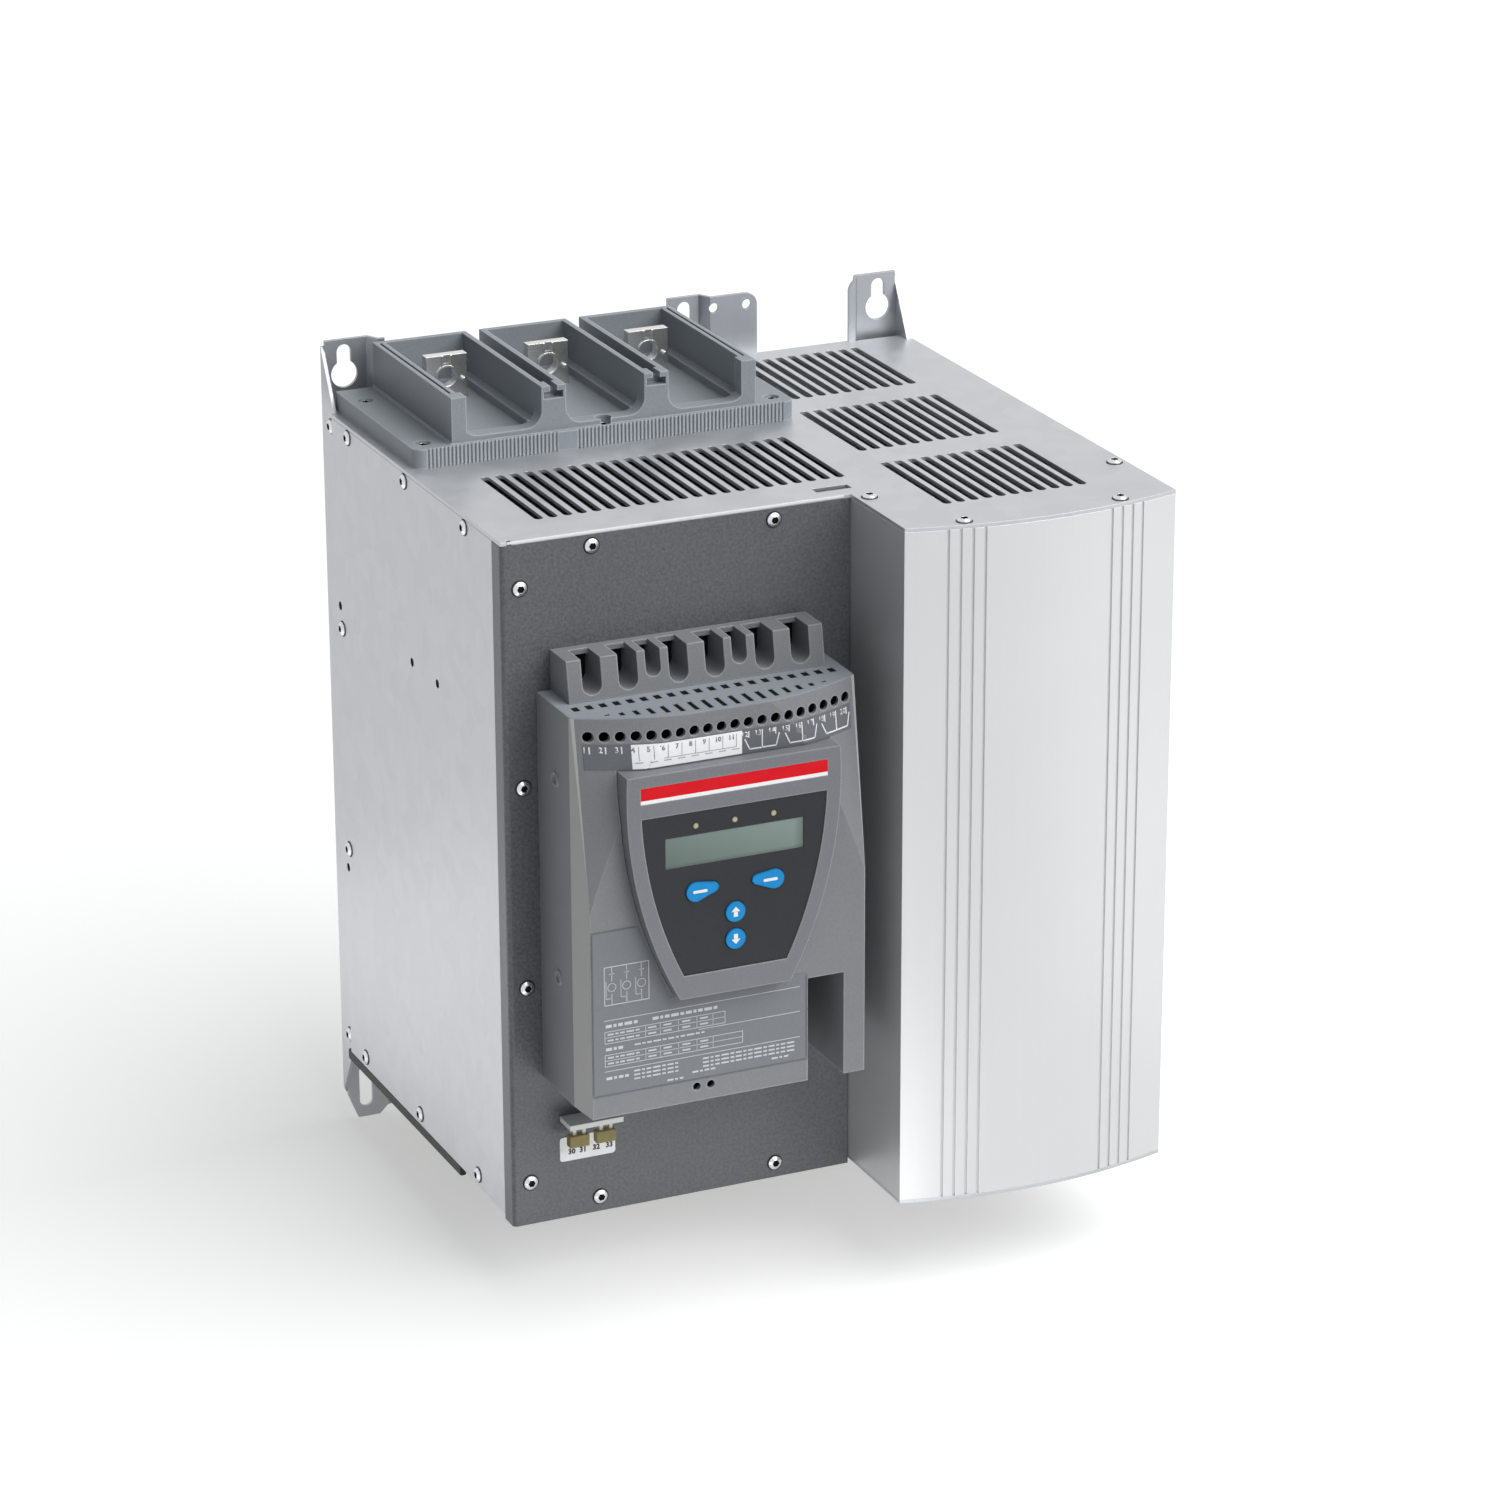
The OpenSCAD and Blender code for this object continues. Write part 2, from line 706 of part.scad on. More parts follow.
// Keyhole through a plate, from front to back
module keyhole() {
    rotate([90, 0, 0]) {
        translate([0, 0, -slack])
            cylinder(r = keyhole_r, h = joggle_d + sheet_t);
        translate([-neck_r, 0, -slack])
            cube([2 * neck_r, neck_h, joggle_d + sheet_t]);
        translate([0, neck_h, -slack])
            cylinder(r = neck_r, h = joggle_d + sheet_t);
    }
}

// Parts of a side flange that are cut away above and below the case; side as before
module flange_trim(side) {
    translate([side * (case_w / 2 - side_t - sheet_t / 2), 0, 0])
        rotate([90, 0, 90])
            translate([0, 0, -sheet_t / 2 - 0.01])
                linear_extrude(sheet_t + 0.02) {
                    polygon([[-flange_d - slack, top_z - sheet_t - sheet_gap],
                             [-gusset_d, top_z - sheet_t - sheet_gap], [-gusset_d, top_z],
                             [0, top_z + gusset_h], [slack, top_z + gusset_h],
                             [slack, top_z + ear_up + slack], [-flange_d - slack, top_z + ear_up + slack]]);
                    polygon([[-flange_d - slack, bottom_z], [-gusset_d, bottom_z], [0, bottom_z - gusset_h],
                             [slack, bottom_z - gusset_h], [slack, bottom_z - ear_down - slack],
                             [-flange_d - slack, bottom_z - ear_down - slack]]);
                }
}

// Cut corners of a lower ear; side as before
module ear_corners(side, inner) {
    mirror([side > 0 ? 1 : 0, 0, 0])
        translate([0, slack, bottom_z - ear_down])
            rotate([90, 0, 0])
                linear_extrude(plate_rear + 2 * slack) {
                    polygon([[flange_x - slack, -slack], [flange_x + ear_cut_w, -slack],
                             [flange_x + ear_cut_w, 0], [flange_x, ear_cut_h], [flange_x - slack, ear_cut_h]]);
                    polygon([[inner - ear_cut_in, -slack], [inner + slack, -slack], [inner + slack, ear_cut_in],
                             [inner, ear_cut_in], [inner - ear_cut_in, 0]]);
                }
}

module back_plate() {
    path = [[flange_x, -flange_d], [flange_x, 0], [flange_x + strip_w, 0],
            [flange_x + strip_w + joggle_run, -joggle_d], [mid_x - mid_strip_w / 2 - joggle_run, -joggle_d],
            [mid_x - mid_strip_w / 2, 0], [mid_x + mid_strip_w / 2, 0],
            [mid_x + mid_strip_w / 2 + joggle_run, -joggle_d],
            [-flange_x - strip_w - joggle_run, -joggle_d], [-flange_x - strip_w, 0],
            [-flange_x, 0], [-flange_x, -flange_d]];
    ear_r = flange_x + strip_w + joggle_run + ear_tail;
    bracket_l = mid_x - mid_strip_w / 2;
    bracket_end = mid_x + bracket_w;
    color(steel)
        difference() {
            translate([0, 0, bottom_z - ear_down])
                linear_extrude(case_h + ear_down + ear_up)
                    folded(path, sheet_t);
            translate([ear_r, -plate_rear - slack, top_z])
                cube([bracket_l - ear_r, plate_rear + 2 * slack, ear_up + slack]);
            translate([bracket_end, -plate_rear - slack, top_z])
                cube([-ear_r - bracket_end, plate_rear + 2 * slack, ear_up + slack]);
            translate([ear_r, -plate_rear - slack, bottom_z - ear_down - slack])
                cube([-2 * ear_r, plate_rear + 2 * slack, ear_down + slack]);
            translate([bracket_end, slack, top_z + ear_up])
                rotate([90, 0, 0])
                    linear_extrude(plate_rear + 2 * slack)
                        rotate(180)
                            corner_2d(bracket_r);
            translate([-ear_r, slack, top_z + ear_up])
                rotate([90, 0, 0])
                    linear_extrude(plate_rear + 2 * slack)
                        rotate(-90)
                            corner_2d(bracket_r);
            for (s = [-1, 1]) {
                flange_trim(s);
                ear_corners(s, ear_r);
                translate([s * (case_w / 2 - keyhole_x), 0, top_z + keyhole_z])
                    keyhole();
                translate([s * (case_w / 2 - keyhole_x), slack, bottom_z - slot_z])
                    rotate([90, 0, 0])
                        linear_extrude(plate_rear)
                            slot_2d(slot_w, slot_len);
                at_side(s)
                    screw_hole();
            }
            translate([mid_x, 0, top_z + keyhole_z])
                keyhole();
            for (x = [0, bracket_hole_pitch])
                translate([bracket_end - 6.3 - x, slack, top_z + 29.5])
                    rotate([90, 0, 0])
                        cylinder(r = bracket_hole_r, h = plate_rear + 2 * slack);
        }
}

module left_side_panel() {
    color(steel)
        difference() {
            translate([left_x, -front_d + front_fold + sheet_gap, bottom_z])
                cube([side_t, front_d - front_fold - sheet_gap - side_rear, case_h - sheet_t - sheet_gap]);
            at_side(-1)
                screw_hole();
            for (p = [[-134, 105.5], [-171, 105.5], [-24, 108], [-24, 262]])
                translate([left_x - slack, p[0], top_z - p[1]])
                    rotate([0, 90, 0])
                        cylinder(r = 2.5, h = side_t + 2 * slack);
        }
}

module right_side_panel() {
    color(steel)
        difference() {
            translate([right_x - side_t, -front_d + leg_back + sheet_gap, bottom_z])
                cube([side_t, front_d - leg_back - sheet_gap - side_rear, case_h - sheet_t - sheet_gap]);
            at_side(1)
                screw_hole();
        }
}

// Plan of the section under the cover, drawn in by a distance
module cover_plan(inset, rear) {
    intersection() {
        translate([cover_x + inset, -cover_front - slack])
            square([cover_w - 2 * inset, cover_front + slack - rear]);
        translate([cover_cx, -cover_front + cover_radius])
            circle(cover_radius - inset, $fn = 128);
    }
}

// Openings that the top and bottom plates share
module plate_cuts_2d() {
    for (y = row_y)
        translate([cover_cx - 5 * sink_vent_pitch, y])
            vents_2d(11, sink_vent_pitch);
    for (x = bay_x)
        translate([x, -bar_y + bar_t / 2])
            square([bar_w + 4, bar_t + 4], center = true);
    for (p = channels)
        translate(p)
            circle(hole_r);
}

// Folds of the top and bottom plates behind the side panels, standing on a height
module plate_folds(z) {
    l = front_d - front_fold - flange_d - 6 * slack;
    for (x = [flange_x + 0.02, -flange_x - sheet_t - 0.02])
        translate([x, -flange_d - 2 * slack - l, z])
            cube([sheet_t, l, plate_fold + sheet_t / 2]);
}

module top_plate() {
    color(steel)
        difference() {
            union() {
                translate([0, 0, top_z - sheet_t])
                    linear_extrude(sheet_t)
                        difference() {
                            union() {
                                translate([left_x, -front_d])
                                    square([case_w, front_d - plate_rear]);
                                cover_plan(0, front_d - slack);
                            }
                            plate_cuts_2d();
                            translate([left_x + vent_x, -vent_y])
                                vents_2d(vent_count, vent_pitch);
                            translate([cover_x - 5, -front_d + 12.5])
                                square([edge_slot_len, edge_slot_w], center = true);
                            translate([left_x + 3.5, -front_d - slack])
                                square([2.5, 3 + slack]);
                            for (x = [left_x - slack, right_x - side_t - sheet_t - sheet_gap])
                                translate([x, -gusset_d - sheet_gap])
                                    square([side_t + sheet_t + sheet_gap + slack, gusset_d]);
                            at_shroud(shroud_w, line_shroud_d)
                                circle(hole_r);
                        }
                plate_folds(top_z - sheet_t - plate_fold);
            }
            for (s = [-1, 1])
                at_side(s)
                    screw_hole();
        }
}

module bottom_plate() {
    inset = max(side_t, sheet_t) + sheet_gap;
    color(steel)
        difference() {
            union() {
                translate([0, 0, bottom_z])
                    linear_extrude(sheet_t)
                        difference() {
                            union() {
                                translate([left_x + inset, -front_d + sheet_t + sheet_gap])
                                    square([case_w - 2 * inset, front_d - sheet_t - sheet_gap - plate_rear]);
                                cover_plan(0, front_d - leg_back + sheet_gap);
                            }
                            plate_cuts_2d();
                            for (s = [-1, 1])
                                translate([s * (case_w / 2 - side_t - sheet_t / 2), -flange_d / 2])
                                    square([sheet_t + 2 * sheet_gap, flange_d + 2 * sheet_gap], center = true);
                            translate([cover_x - 2 * sheet_gap, -front_d - slack])
                                square([2 * sheet_gap, sheet_t + slack + sheet_gap]);
                            at_shroud(load_shroud_w, load_shroud_d)
                                circle(hole_r);
                        }
                plate_folds(bottom_z + sheet_t / 2);
            }
            for (s = [-1, 1])
                at_side(s)
                    screw_hole();
        }
}

module front_panel() {
    w = cover_x - left_x - sheet_gap;
    h = case_h + front_drop - sheet_t - sheet_gap;
    color(dark)
        difference() {
            translate([left_x, -front_d, bottom_z - front_drop])
                union() {
                    cube([w, sheet_t, h]);
                    cube([sheet_t, front_fold, h]);
                    cube([w, front_fold, front_drop - sheet_gap]);
                }
            at_front()
                screw_hole();
            translate([left_x, -front_d, bottom_z - front_drop - slack])
                linear_extrude(h + 2 * slack)
                    corner_2d(front_r);
            translate([panel_cx - unit_w * 0.32, -front_d - slack, unit_foot + unit_h * 0.37])
                cube([unit_w * 0.64, sheet_t + 2 * slack, unit_h * 0.46]);
        }
}

module aluminium_cover() {
    color(bright)
        translate([0, 0, floor_z])
            linear_extrude(case_h - 2 * sheet_t)
                difference() {
                    union() {
                        difference() {
                            cover_plan(0, front_d - leg_back);
                            cover_plan(cover_t, front_d - leg_back - slack);
                        }
                        for (p = channels)
                            translate(p)
                                circle(channel_r);
                    }
                    for (p = channels)
                        translate(p)
                            circle(hole_r);
                    for (i = [0:3], s = [-1, 1]) {
                        d = groove_first + i * groove_pitch;
                        translate([cover_cx + s * (cover_w / 2 - d) - groove_w / 2, -cover_arc(d) - slack])
                            square([groove_w, groove_depth + slack]);
                    }
                }
}

// Base of a shroud seen from above, with rounded front corners and a ribbed front edge
module shroud_plan(w, d) {
    count = floor((w - 2 * shroud_r) / edge_rib_pitch);
    start = bay_cx - count * edge_rib_pitch / 2;
    block = bay_cx - w / 2 + edge_block_x;
    front = -shroud_rear - d;
    difference() {
        translate([bay_cx - w / 2, front])
            square([w, d]);
        translate([bay_cx - w / 2, front])
            corner_2d(shroud_r);
        translate([bay_cx + w / 2, front])
            rotate(90)
                corner_2d(shroud_r);
        for (i = [0:count - 1])
            if (abs(start + (i + 0.5) * edge_rib_pitch - block) > edge_block_w / 2)
                translate([start + (i + 0.25) * edge_rib_pitch, front - slack])
                    square([edge_rib_pitch / 2, edge_rib_d + slack]);
    }
}

// Moulded shroud standing on z = 0: a base with three bays that are open at the front and above
module shroud(w, d, base, h) {
    wall_x = bay_pitch + bay_w / 2 + outer_wall;
    y_front = -shroud_rear - bay_len;
    difference() {
        union() {
            difference() {
                union() {
                    linear_extrude(base)
                        shroud_plan(w, d);
                    for (x = bay_x)
                        translate([x - bay_w / 2 - bay_wall, y_front, base - slack])
                            cube([bay_w + 2 * bay_wall, bay_len, h - base + slack]);
                    for (s = [-1, 1]) {
                        translate([bay_cx + s * (wall_x - outer_wall / 2) - outer_wall / 2, y_front, base - slack])
                            cube([outer_wall, bay_len, h - base + slack]);
                        translate([bay_cx + s * bay_pitch / 2 - (bay_pitch - bay_w) / 2, y_front, base - slack])
                            cube([bay_pitch - bay_w, post_d, h - base + slack]);
                        mirror([s > 0 ? 1 : 0, 0, 0])
                            translate([s > 0 ? -bay_cx - wall_x : bay_cx - wall_x, -shroud_rear, base])
                                rotate([90, 0, 0])
                                    linear_extrude(bay_len)
                                        polygon([[slack, -slack], [slack, foot_slant], [0, foot_slant],
                                                 [-foot_slant, 0], [-foot_slant, -slack]]);
                    }
                }
                for (x = bay_x)
                    translate([x - bay_w / 2, y_front - slack, base])
                        cube([bay_w, bay_len + slack - bay_wall, h]);
            }
            for (x = bay_x) {
                translate([x - bay_w / 2 - slack, y_front, base - slack])
                    cube([bay_w + 2 * slack, post_d, sill_h + slack]);
                for (s = [-1, 1]) {
                    translate([x + s * bay_w / 2, y_front + post_d, base + sill_h])
                        rotate([90, 0, 0])
                            linear_extrude(post_d)
                                mirror([s > 0 ? 1 : 0, 0])
                                    corner_2d(cove_r);
                    translate([x + s * (bay_w - foot_rib) / 2 - foot_rib / 2, y_front + post_d - slack,
                               base - slack])
                        cube([foot_rib, bay_len - post_d - bay_wall + 2 * slack, foot_rib + slack]);
                }
            }
            for (s = [-1, 1])
                translate([bay_cx + s * (wall_x - post_w / 2) - post_w / 2, y_front, base - slack])
                    cube([post_w, post_d, h - base + slack]);
        }
        for (x = bay_x)
            translate([x - bar_w / 2 - bar_gap, -bar_y - bar_gap, -slack])
                cube([bar_w + 2 * bar_gap, bar_t + 2 * bar_gap, base + 2 * slack]);
        for (s = [-1, 1]) {
            translate([bay_cx + s * bay_pitch / 2, y_front - slack, h]) {
                translate([-barrier_neck / 2, 0, -barrier_neck_h])
                    cube([barrier_neck, post_d + 2 * slack, barrier_neck_h + slack]);
                translate([-barrier_head / 2, 0, -barrier_neck_h - barrier_head_h])
                    cube([barrier_head, post_d - 3 + slack, barrier_head_h]);
            }
            translate([bay_cx + s * (wall_x - outer_wall / 2) - wall_groove_w / 2, y_front + post_d,
                       h - wall_groove_d])
                cube([wall_groove_w, bay_len - post_d - bay_wall, wall_groove_d + slack]);
        }
        at_shroud(w, d) {
            translate([0, 0, -slack])
                cylinder(r = hole_r, h = base + 2 * slack);
            translate([0, 0, base * 0.75])
                cylinder(r = head_r + 0.6, h = base);
        }
    }
}

module line_shroud() {
    color(grey)
        translate([0, 0, top_z])
            shroud(shroud_w, line_shroud_d, line_base_t, line_shroud_h);
}

module load_shroud() {
    color(grey)
        translate([0, 0, bottom_z])
            mirror([0, 0, 1])
                shroud(load_shroud_w, load_shroud_d, load_base_t, load_shroud_h);
}

// Upright of a busbar, from its terminal end to the contactor
module upright(bay, end_z, stop_z) {
    translate([bay_x[bay] - bar_w / 2, -bar_y, min(end_z, stop_z)])
        cube([bar_w, bar_t, abs(end_z - stop_z)]);
}

// Busbar with its terminal hole
module busbar(bay, end_z, hole_z, stop_z) {
    way = end_z > stop_z ? 1 : -1;
    color(tin)
        difference() {
            upright(bay, end_z, stop_z);
            translate([bay_x[bay], -bar_y + bar_t + slack, end_z - way * hole_z])
                rotate([90, 0, 0])
                    cylinder(r = terminal_hole_r, h = bar_t + 2 * slack);
            translate([bay_x[bay], -bar_y + terminal_groove_d / 2 - slack / 2, end_z - way * (hole_z - slack) / 2])
                cube([terminal_groove_w, terminal_groove_d + slack, hole_z + slack], center = true);
        }
}

module line_busbar(i) {
    busbar(i, top_z + line_bar_h, line_hole_z, contactor_top);
}

module load_busbar(i) {
    busbar(i, bottom_z - load_bar_h, load_hole_z, contactor_foot);
}

// Branches from the busbars to the thyristor blocks, each fixed to its bar
module busbar_branches() {
    color(tin)
        for (bay = [0:2], leg_z = [middle_z + line_leg_z, middle_z - load_leg_z - bar_t]) {
            x = bay_x[bay];
            leg_y = row_y[2 - bay] + contact_shift;
            leg_front = min(leg_y - bar_w / 2, -bar_y);
            difference() {
                union() {
                    translate([x - bar_w / 2, leg_front, leg_z])
                        cube([bar_w, max(leg_y + bar_w / 2, -bar_y + bar_t) - leg_front, bar_t]);
                    translate([x - bar_w / 2, leg_y - bar_w / 2, leg_z])
                        cube([pad_x - x + bar_w / 2, bar_w, bar_t]);
                }
                upright(bay, top_z, bottom_z);
            }
        }
}

module side_screws() {
    color(steel)
        for (s = [-1, 1])
            at_side(s)
                screw();
}

module front_screws() {
    color(steel)
        at_front()
            screw();
}

module plate_screws() {
    color(steel)
        at_channels()
            screw();
}

module shroud_screws() {
    color(steel) {
        translate([0, 0, top_z + line_base_t * 0.75])
            at_shroud(shroud_w, line_shroud_d)
                screw();
        translate([0, 0, bottom_z - load_base_t * 0.75])
            mirror([0, 0, 1])
                at_shroud(load_shroud_w, load_shroud_d)
                    screw();
    }
}

// Form of the control unit, drawn in by g: flat sides and face, with a bowed front that leans back
module unit_form(g) {
    half = unit_w / 2 - g;
    intersection() {
        translate([0, unit_top - g, 0])
            rotate([90, 0, 0])
                linear_extrude(unit_h - 2 * g)
                    polygon([[-half, -slack * g], [half, -slack * g], [half, unit_side_d],
                             [half - unit_bevel, unit_d - g], [-half + unit_bevel, unit_d - g],
                             [-half, unit_side_d]]);
        translate([0, unit_top, ledge_d + ledge_bow - ledge_radius])
            rotate([90 - front_lean, 0, 0])
                translate([0, 0, -40])
                    cylinder(r = ledge_radius - g, h = unit_h + 120, $fn = 128);
    }
}

// Shield outline of the bezel as a solid between two depths, with insets at sides, top and foot
module shield(side, top, foot, from, to) {
    translate([0, 0, from])
        linear_extrude(to - from)
            intersection() {
                translate([-bezel_w / 2 + side, bezel_foot + foot])
                    square([bezel_w - 2 * side, bezel_h - top - foot]);
                translate([-bezel_radius + bezel_w / 2, bezel_top - bezel_wide_z])
                    circle(bezel_radius - side, $fn = 160);
                translate([bezel_radius - bezel_w / 2, bezel_top - bezel_wide_z])
                    circle(bezel_radius - side, $fn = 160);
            }
}

// The block in which the cut-out at the housing's foot lies, drawn in by g
module foot_block(g) {
    translate([unit_w / 2 - foot_leg_w - foot_cut_w + g, unit_foot - slack, -slack])
        cube([foot_cut_w - 2 * g, foot_cut_h + slack - g, unit_d + 2 * slack]);
}

module control_housing() {
    color(grey)
        on_front()
            difference() {
                union() {
                    difference() {
                        unit_form(0);
                        unit_form(unit_t);
                    }
                    intersection() {
                        unit_form(0);
                        foot_block(-unit_t);
                    }
                    for (s = [-1, 1], y = [0.183, 0.694])
                        translate([s * unit_w / 2, unit_top - y * unit_h, unit_side_d * 0.57])
                            rotate([0, s * 90, 0])
                                difference() {
                                    translate([0, 0, -slack])
                                        cylinder(r = ring_r, h = ring_h + slack);
                                    cylinder(r = ring_r * 0.7, h = ring_h + slack);
                                }
                }
                foot_block(0);
                shield(-bezel_gap, -bezel_gap, -bezel_gap, bezel_d - bezel_body - 4 * slack, bezel_d + slack);
                for (i = [0:19])
                    translate([(i - 9.5) * pole_pitch, 0, 0]) {
                        translate([0, unit_top - pole_hole_z, 38])
                            cylinder(r = pole_hole_r, h = 30);
                        translate([-ledge_vent_w / 2, unit_top - unit_t - slack,
                                   ledge_vent_y - ledge_vent_l / 2])
                            cube([ledge_vent_w, unit_t + 2 * slack, ledge_vent_l]);
                    }
                for (i = [-8:8]) {
                    len = ledge_arc(i * pole_pitch) - ledge_rim - ledge_slot_y;
                    translate([i * pole_pitch - ledge_slot_w / 2, unit_top - unit_t - slack, ledge_slot_y])
                        cube([ledge_slot_w, unit_t + 2 * slack, max(len, 0.8)]);
                }
                for (x = [0.118, 0.068])
                    translate([-x * unit_w, unit_foot + unit_h * 0.038, unit_d - unit_t - slack])
                        cylinder(r = test_hole_r, h = unit_t + 2 * slack);
            }
}

module cable_comb() {
    color(grey)
        on_front() {
            difference() {
                translate([comb_w / 2, unit_top, 0])
                    rotate([0, -90, 0])
                        linear_extrude(comb_w)
                            polygon([[0, 0], [comb_d + comb_h * tan(front_lean), 0], [comb_d, comb_h], [0, comb_h]]);
                for (s = [-1, 1]) {
                    for (x = comb_wide)
                        translate([s * x, unit_top + comb_h, comb_back])
                            comb_slot(comb_slot_w, comb_slot_h);
                    translate([s * comb_narrow, unit_top + comb_h, comb_back])
                        comb_slot(comb_narrow_w, comb_narrow_h);
                }
            }
            translate([-comb_w / 2, unit_top + comb_h - comb_bar_h, 0])
                cube([comb_w, comb_bar_h, comb_bar_d]);
        }
}

// Slot with a round bottom, hanging from y = 0
module comb_slot(w, h) {
    translate([-w / 2, -h + w / 2, 0])
        cube([w, h, 2 * comb_d]);
    translate([0, -h + w / 2, 0])
        cylinder(d = w, h = 2 * comb_d);
}

module keypad_bezel() {
    back = bezel_d - bezel_body;
    color(grey)
        on_front()
            difference() {
                shield(0, 0, 0, back, bezel_d);
                shield(rim_side, rim_top, rim_foot, pad_back, bezel_d + slack);
                shield(rim_side + shoulder_w, rim_top + shoulder_w, rim_foot + shoulder_w, back - slack,
                       bezel_d);
                shield(board_rim, rim_top - 4, rim_foot - 4, back - slack, board_face);
                translate([-strip_len / 2, bezel_top - strip_z - strip_h, bezel_d - strip_t])
                    cube([strip_len, strip_h, strip_t + slack]);
            }
}

module accent_strip() {
    color([0.85, 0.16, 0.18])
        on_front()
            translate([-strip_len / 2, bezel_top - strip_z - strip_h, bezel_d - strip_t])
                cube([strip_len, strip_h, strip_t]);
}

// Openings of the keypad panel: display, lights and keys
module keypad_panel() {
    fit = 0.15;
    color(black)
        on_front()
            difference() {
                shield(rim_side + fit, rim_top + fit, rim_foot + fit, pad_back, pad_face);
                translate([-display_w / 2, unit_top - display_z - display_h / 2, pad_back - slack])
                    cube([display_w, display_h, pad_t + 2 * slack]);
                translate([0, 0, pad_back - slack])
                    linear_extrude(pad_t + 2 * slack) {
                        for (i = [-1:1])
                            translate([i * light_pitch, unit_top - light_z])
                                circle(light_r + fit);
                        translate([0, unit_top - up_key_z])
                            circle(round_key_r + key_gap);
                        translate([0, unit_top - down_key_z])
                            circle(round_key_r + key_gap);
                        translate([-side_key_x, unit_top - side_key_z])
                            drop_2d(key_gap);
                        translate([side_key_x, unit_top - side_key_z])
                            mirror([1, 0])
                                drop_2d(key_gap);
                    }
            }
}

module display_module() {
    color(black)
        on_front()
            translate([-display_w * 0.525, unit_top - display_z - display_h * 0.6, board_face])
                cube([display_w * 1.05, display_h * 1.2, pad_back - board_face]);
}

module display_glass() {
    fit = 0.1;
    color([0.46, 0.53, 0.5])
        on_front()
            translate([-display_w / 2 + fit, unit_top - display_z - display_h / 2 + fit, pad_back])
                cube([display_w - 2 * fit, display_h - 2 * fit, glass_t]);
}

module status_lights() {
    color([0.3, 0.35, 0.33])
        on_front()
            for (i = [-1:1])
                translate([i * light_pitch, unit_top - light_z, board_face])
                    cylinder(r = light_r, h = pad_face - board_face + 0.3);
}

// Key between the keypad board and the panel: a cap with a flange behind the panel
module key_cap() {
    from = board_face + key_travel + 0.6;
    color(blue)
        on_front() {
            translate([0, 0, from])
                linear_extrude(pad_face + key_rise - from)
                    children(0);
            translate([0, 0, pad_back - key_gap - key_lip_t])
                linear_extrude(key_lip_t)
                    children(1);
        }
}

module left_key() {
    key_cap() {
        translate([-side_key_x, unit_top - side_key_z])
            drop_2d(0);
        translate([-side_key_x, unit_top - side_key_z])
            drop_2d(key_lip);
    }
}

module right_key() {
    key_cap() {
        translate([side_key_x, unit_top - side_key_z])
            mirror([1, 0])
                drop_2d(0);
        translate([side_key_x, unit_top - side_key_z])
            mirror([1, 0])
                drop_2d(key_lip);
    }
}

module round_key(z) {
    key_cap() {
        translate([0, unit_top - z])
            circle(round_key_r);
        translate([0, unit_top - z])
            circle(round_key_r + key_lip);
    }
}

module keypad_board() {
    fit = 0.1;
    color(green)
        on_front()
            shield(board_rim + fit, rim_top - 4 + fit, rim_foot - 4 + fit, board_face - board_t, board_face);
}

module terminal_strip() {
    color(black)
        on_front()
            difference() {
                translate([-10 * pole_pitch, unit_top - unit_t - 2.36 * pole_pitch, 0])
                    cube([20 * pole_pitch, 1.8 * pole_pitch, 4.45 * pole_pitch]);
                for (i = [0:19])
                    translate([(i - 9.79) * pole_pitch, unit_top - unit_t - 2.23 * pole_pitch, 2.9 * pole_pitch])
                        cube([0.58 * pole_pitch, 0.65 * pole_pitch, 3 * pole_pitch]);
            }
}

module terminal_screws() {
    color(steel)
        on_front()
            for (i = [0:19])
                translate([(i - 9.5) * pole_pitch, unit_top - pole_hole_z, 4.45 * pole_pitch])
                    difference() {
                        cylinder(r = pole_hole_r - 0.4, h = 2);
                        translate([-pole_hole_r, -0.4, 1])
                            cube([2 * pole_hole_r, 0.8, 2]);
                    }
}

module pin_header() {
    color([0.92, 0.92, 0.9])
        translate([left_x + header_x, -front_d - header_d, unit_foot - header_z - header_h]) {
            cube([header_w, header_d, header_h]);
            for (x = [0, header_w / 2], k = [0.22, 0.72])
                translate([x + k * plug_w, 2, -header_pin_l])
                    cube([1.8, 2.4, header_pin_l + slack]);
        }
}

module plug(i) {
    color([0.5, 0.46, 0.28])
        translate([left_x + header_x + i * header_w / 2, -front_d - header_d,
                   unit_foot - header_z - header_h - header_pin_l - plug_h])
            cube([plug_w, plug_d, plug_h]);
}

module heat_sink(i) {
    fins = 11;
    gap = (sink_d - fin_t) / (fins - 1);
    color(bright)
        translate([sink_x, row_y[i] - sink_d / 2, floor_z + fan_h])
            linear_extrude(middle_z + sink_top - floor_z - fan_h) {
                square([sink_root, sink_d]);
                for (k = [0:fins - 1])
                    translate([0, k * gap])
                        square([fan_w, fin_t]);
            }
}

module thyristor(i) {
    leg_y = row_y[i] + contact_shift;
    color(black)
        translate([block_x, row_y[i] - block_d / 2, contactor_z - block_h / 2])
            cube([block_t, block_d, block_h]);
    color(tin)
        for (z = [middle_z + line_leg_z + bar_t / 2, middle_z - load_leg_z - bar_t / 2])
            translate([pad_x, leg_y - contact_w / 2, z - contact_w / 4])
                cube([contact_t + slack, contact_w, contact_w / 2]);
}

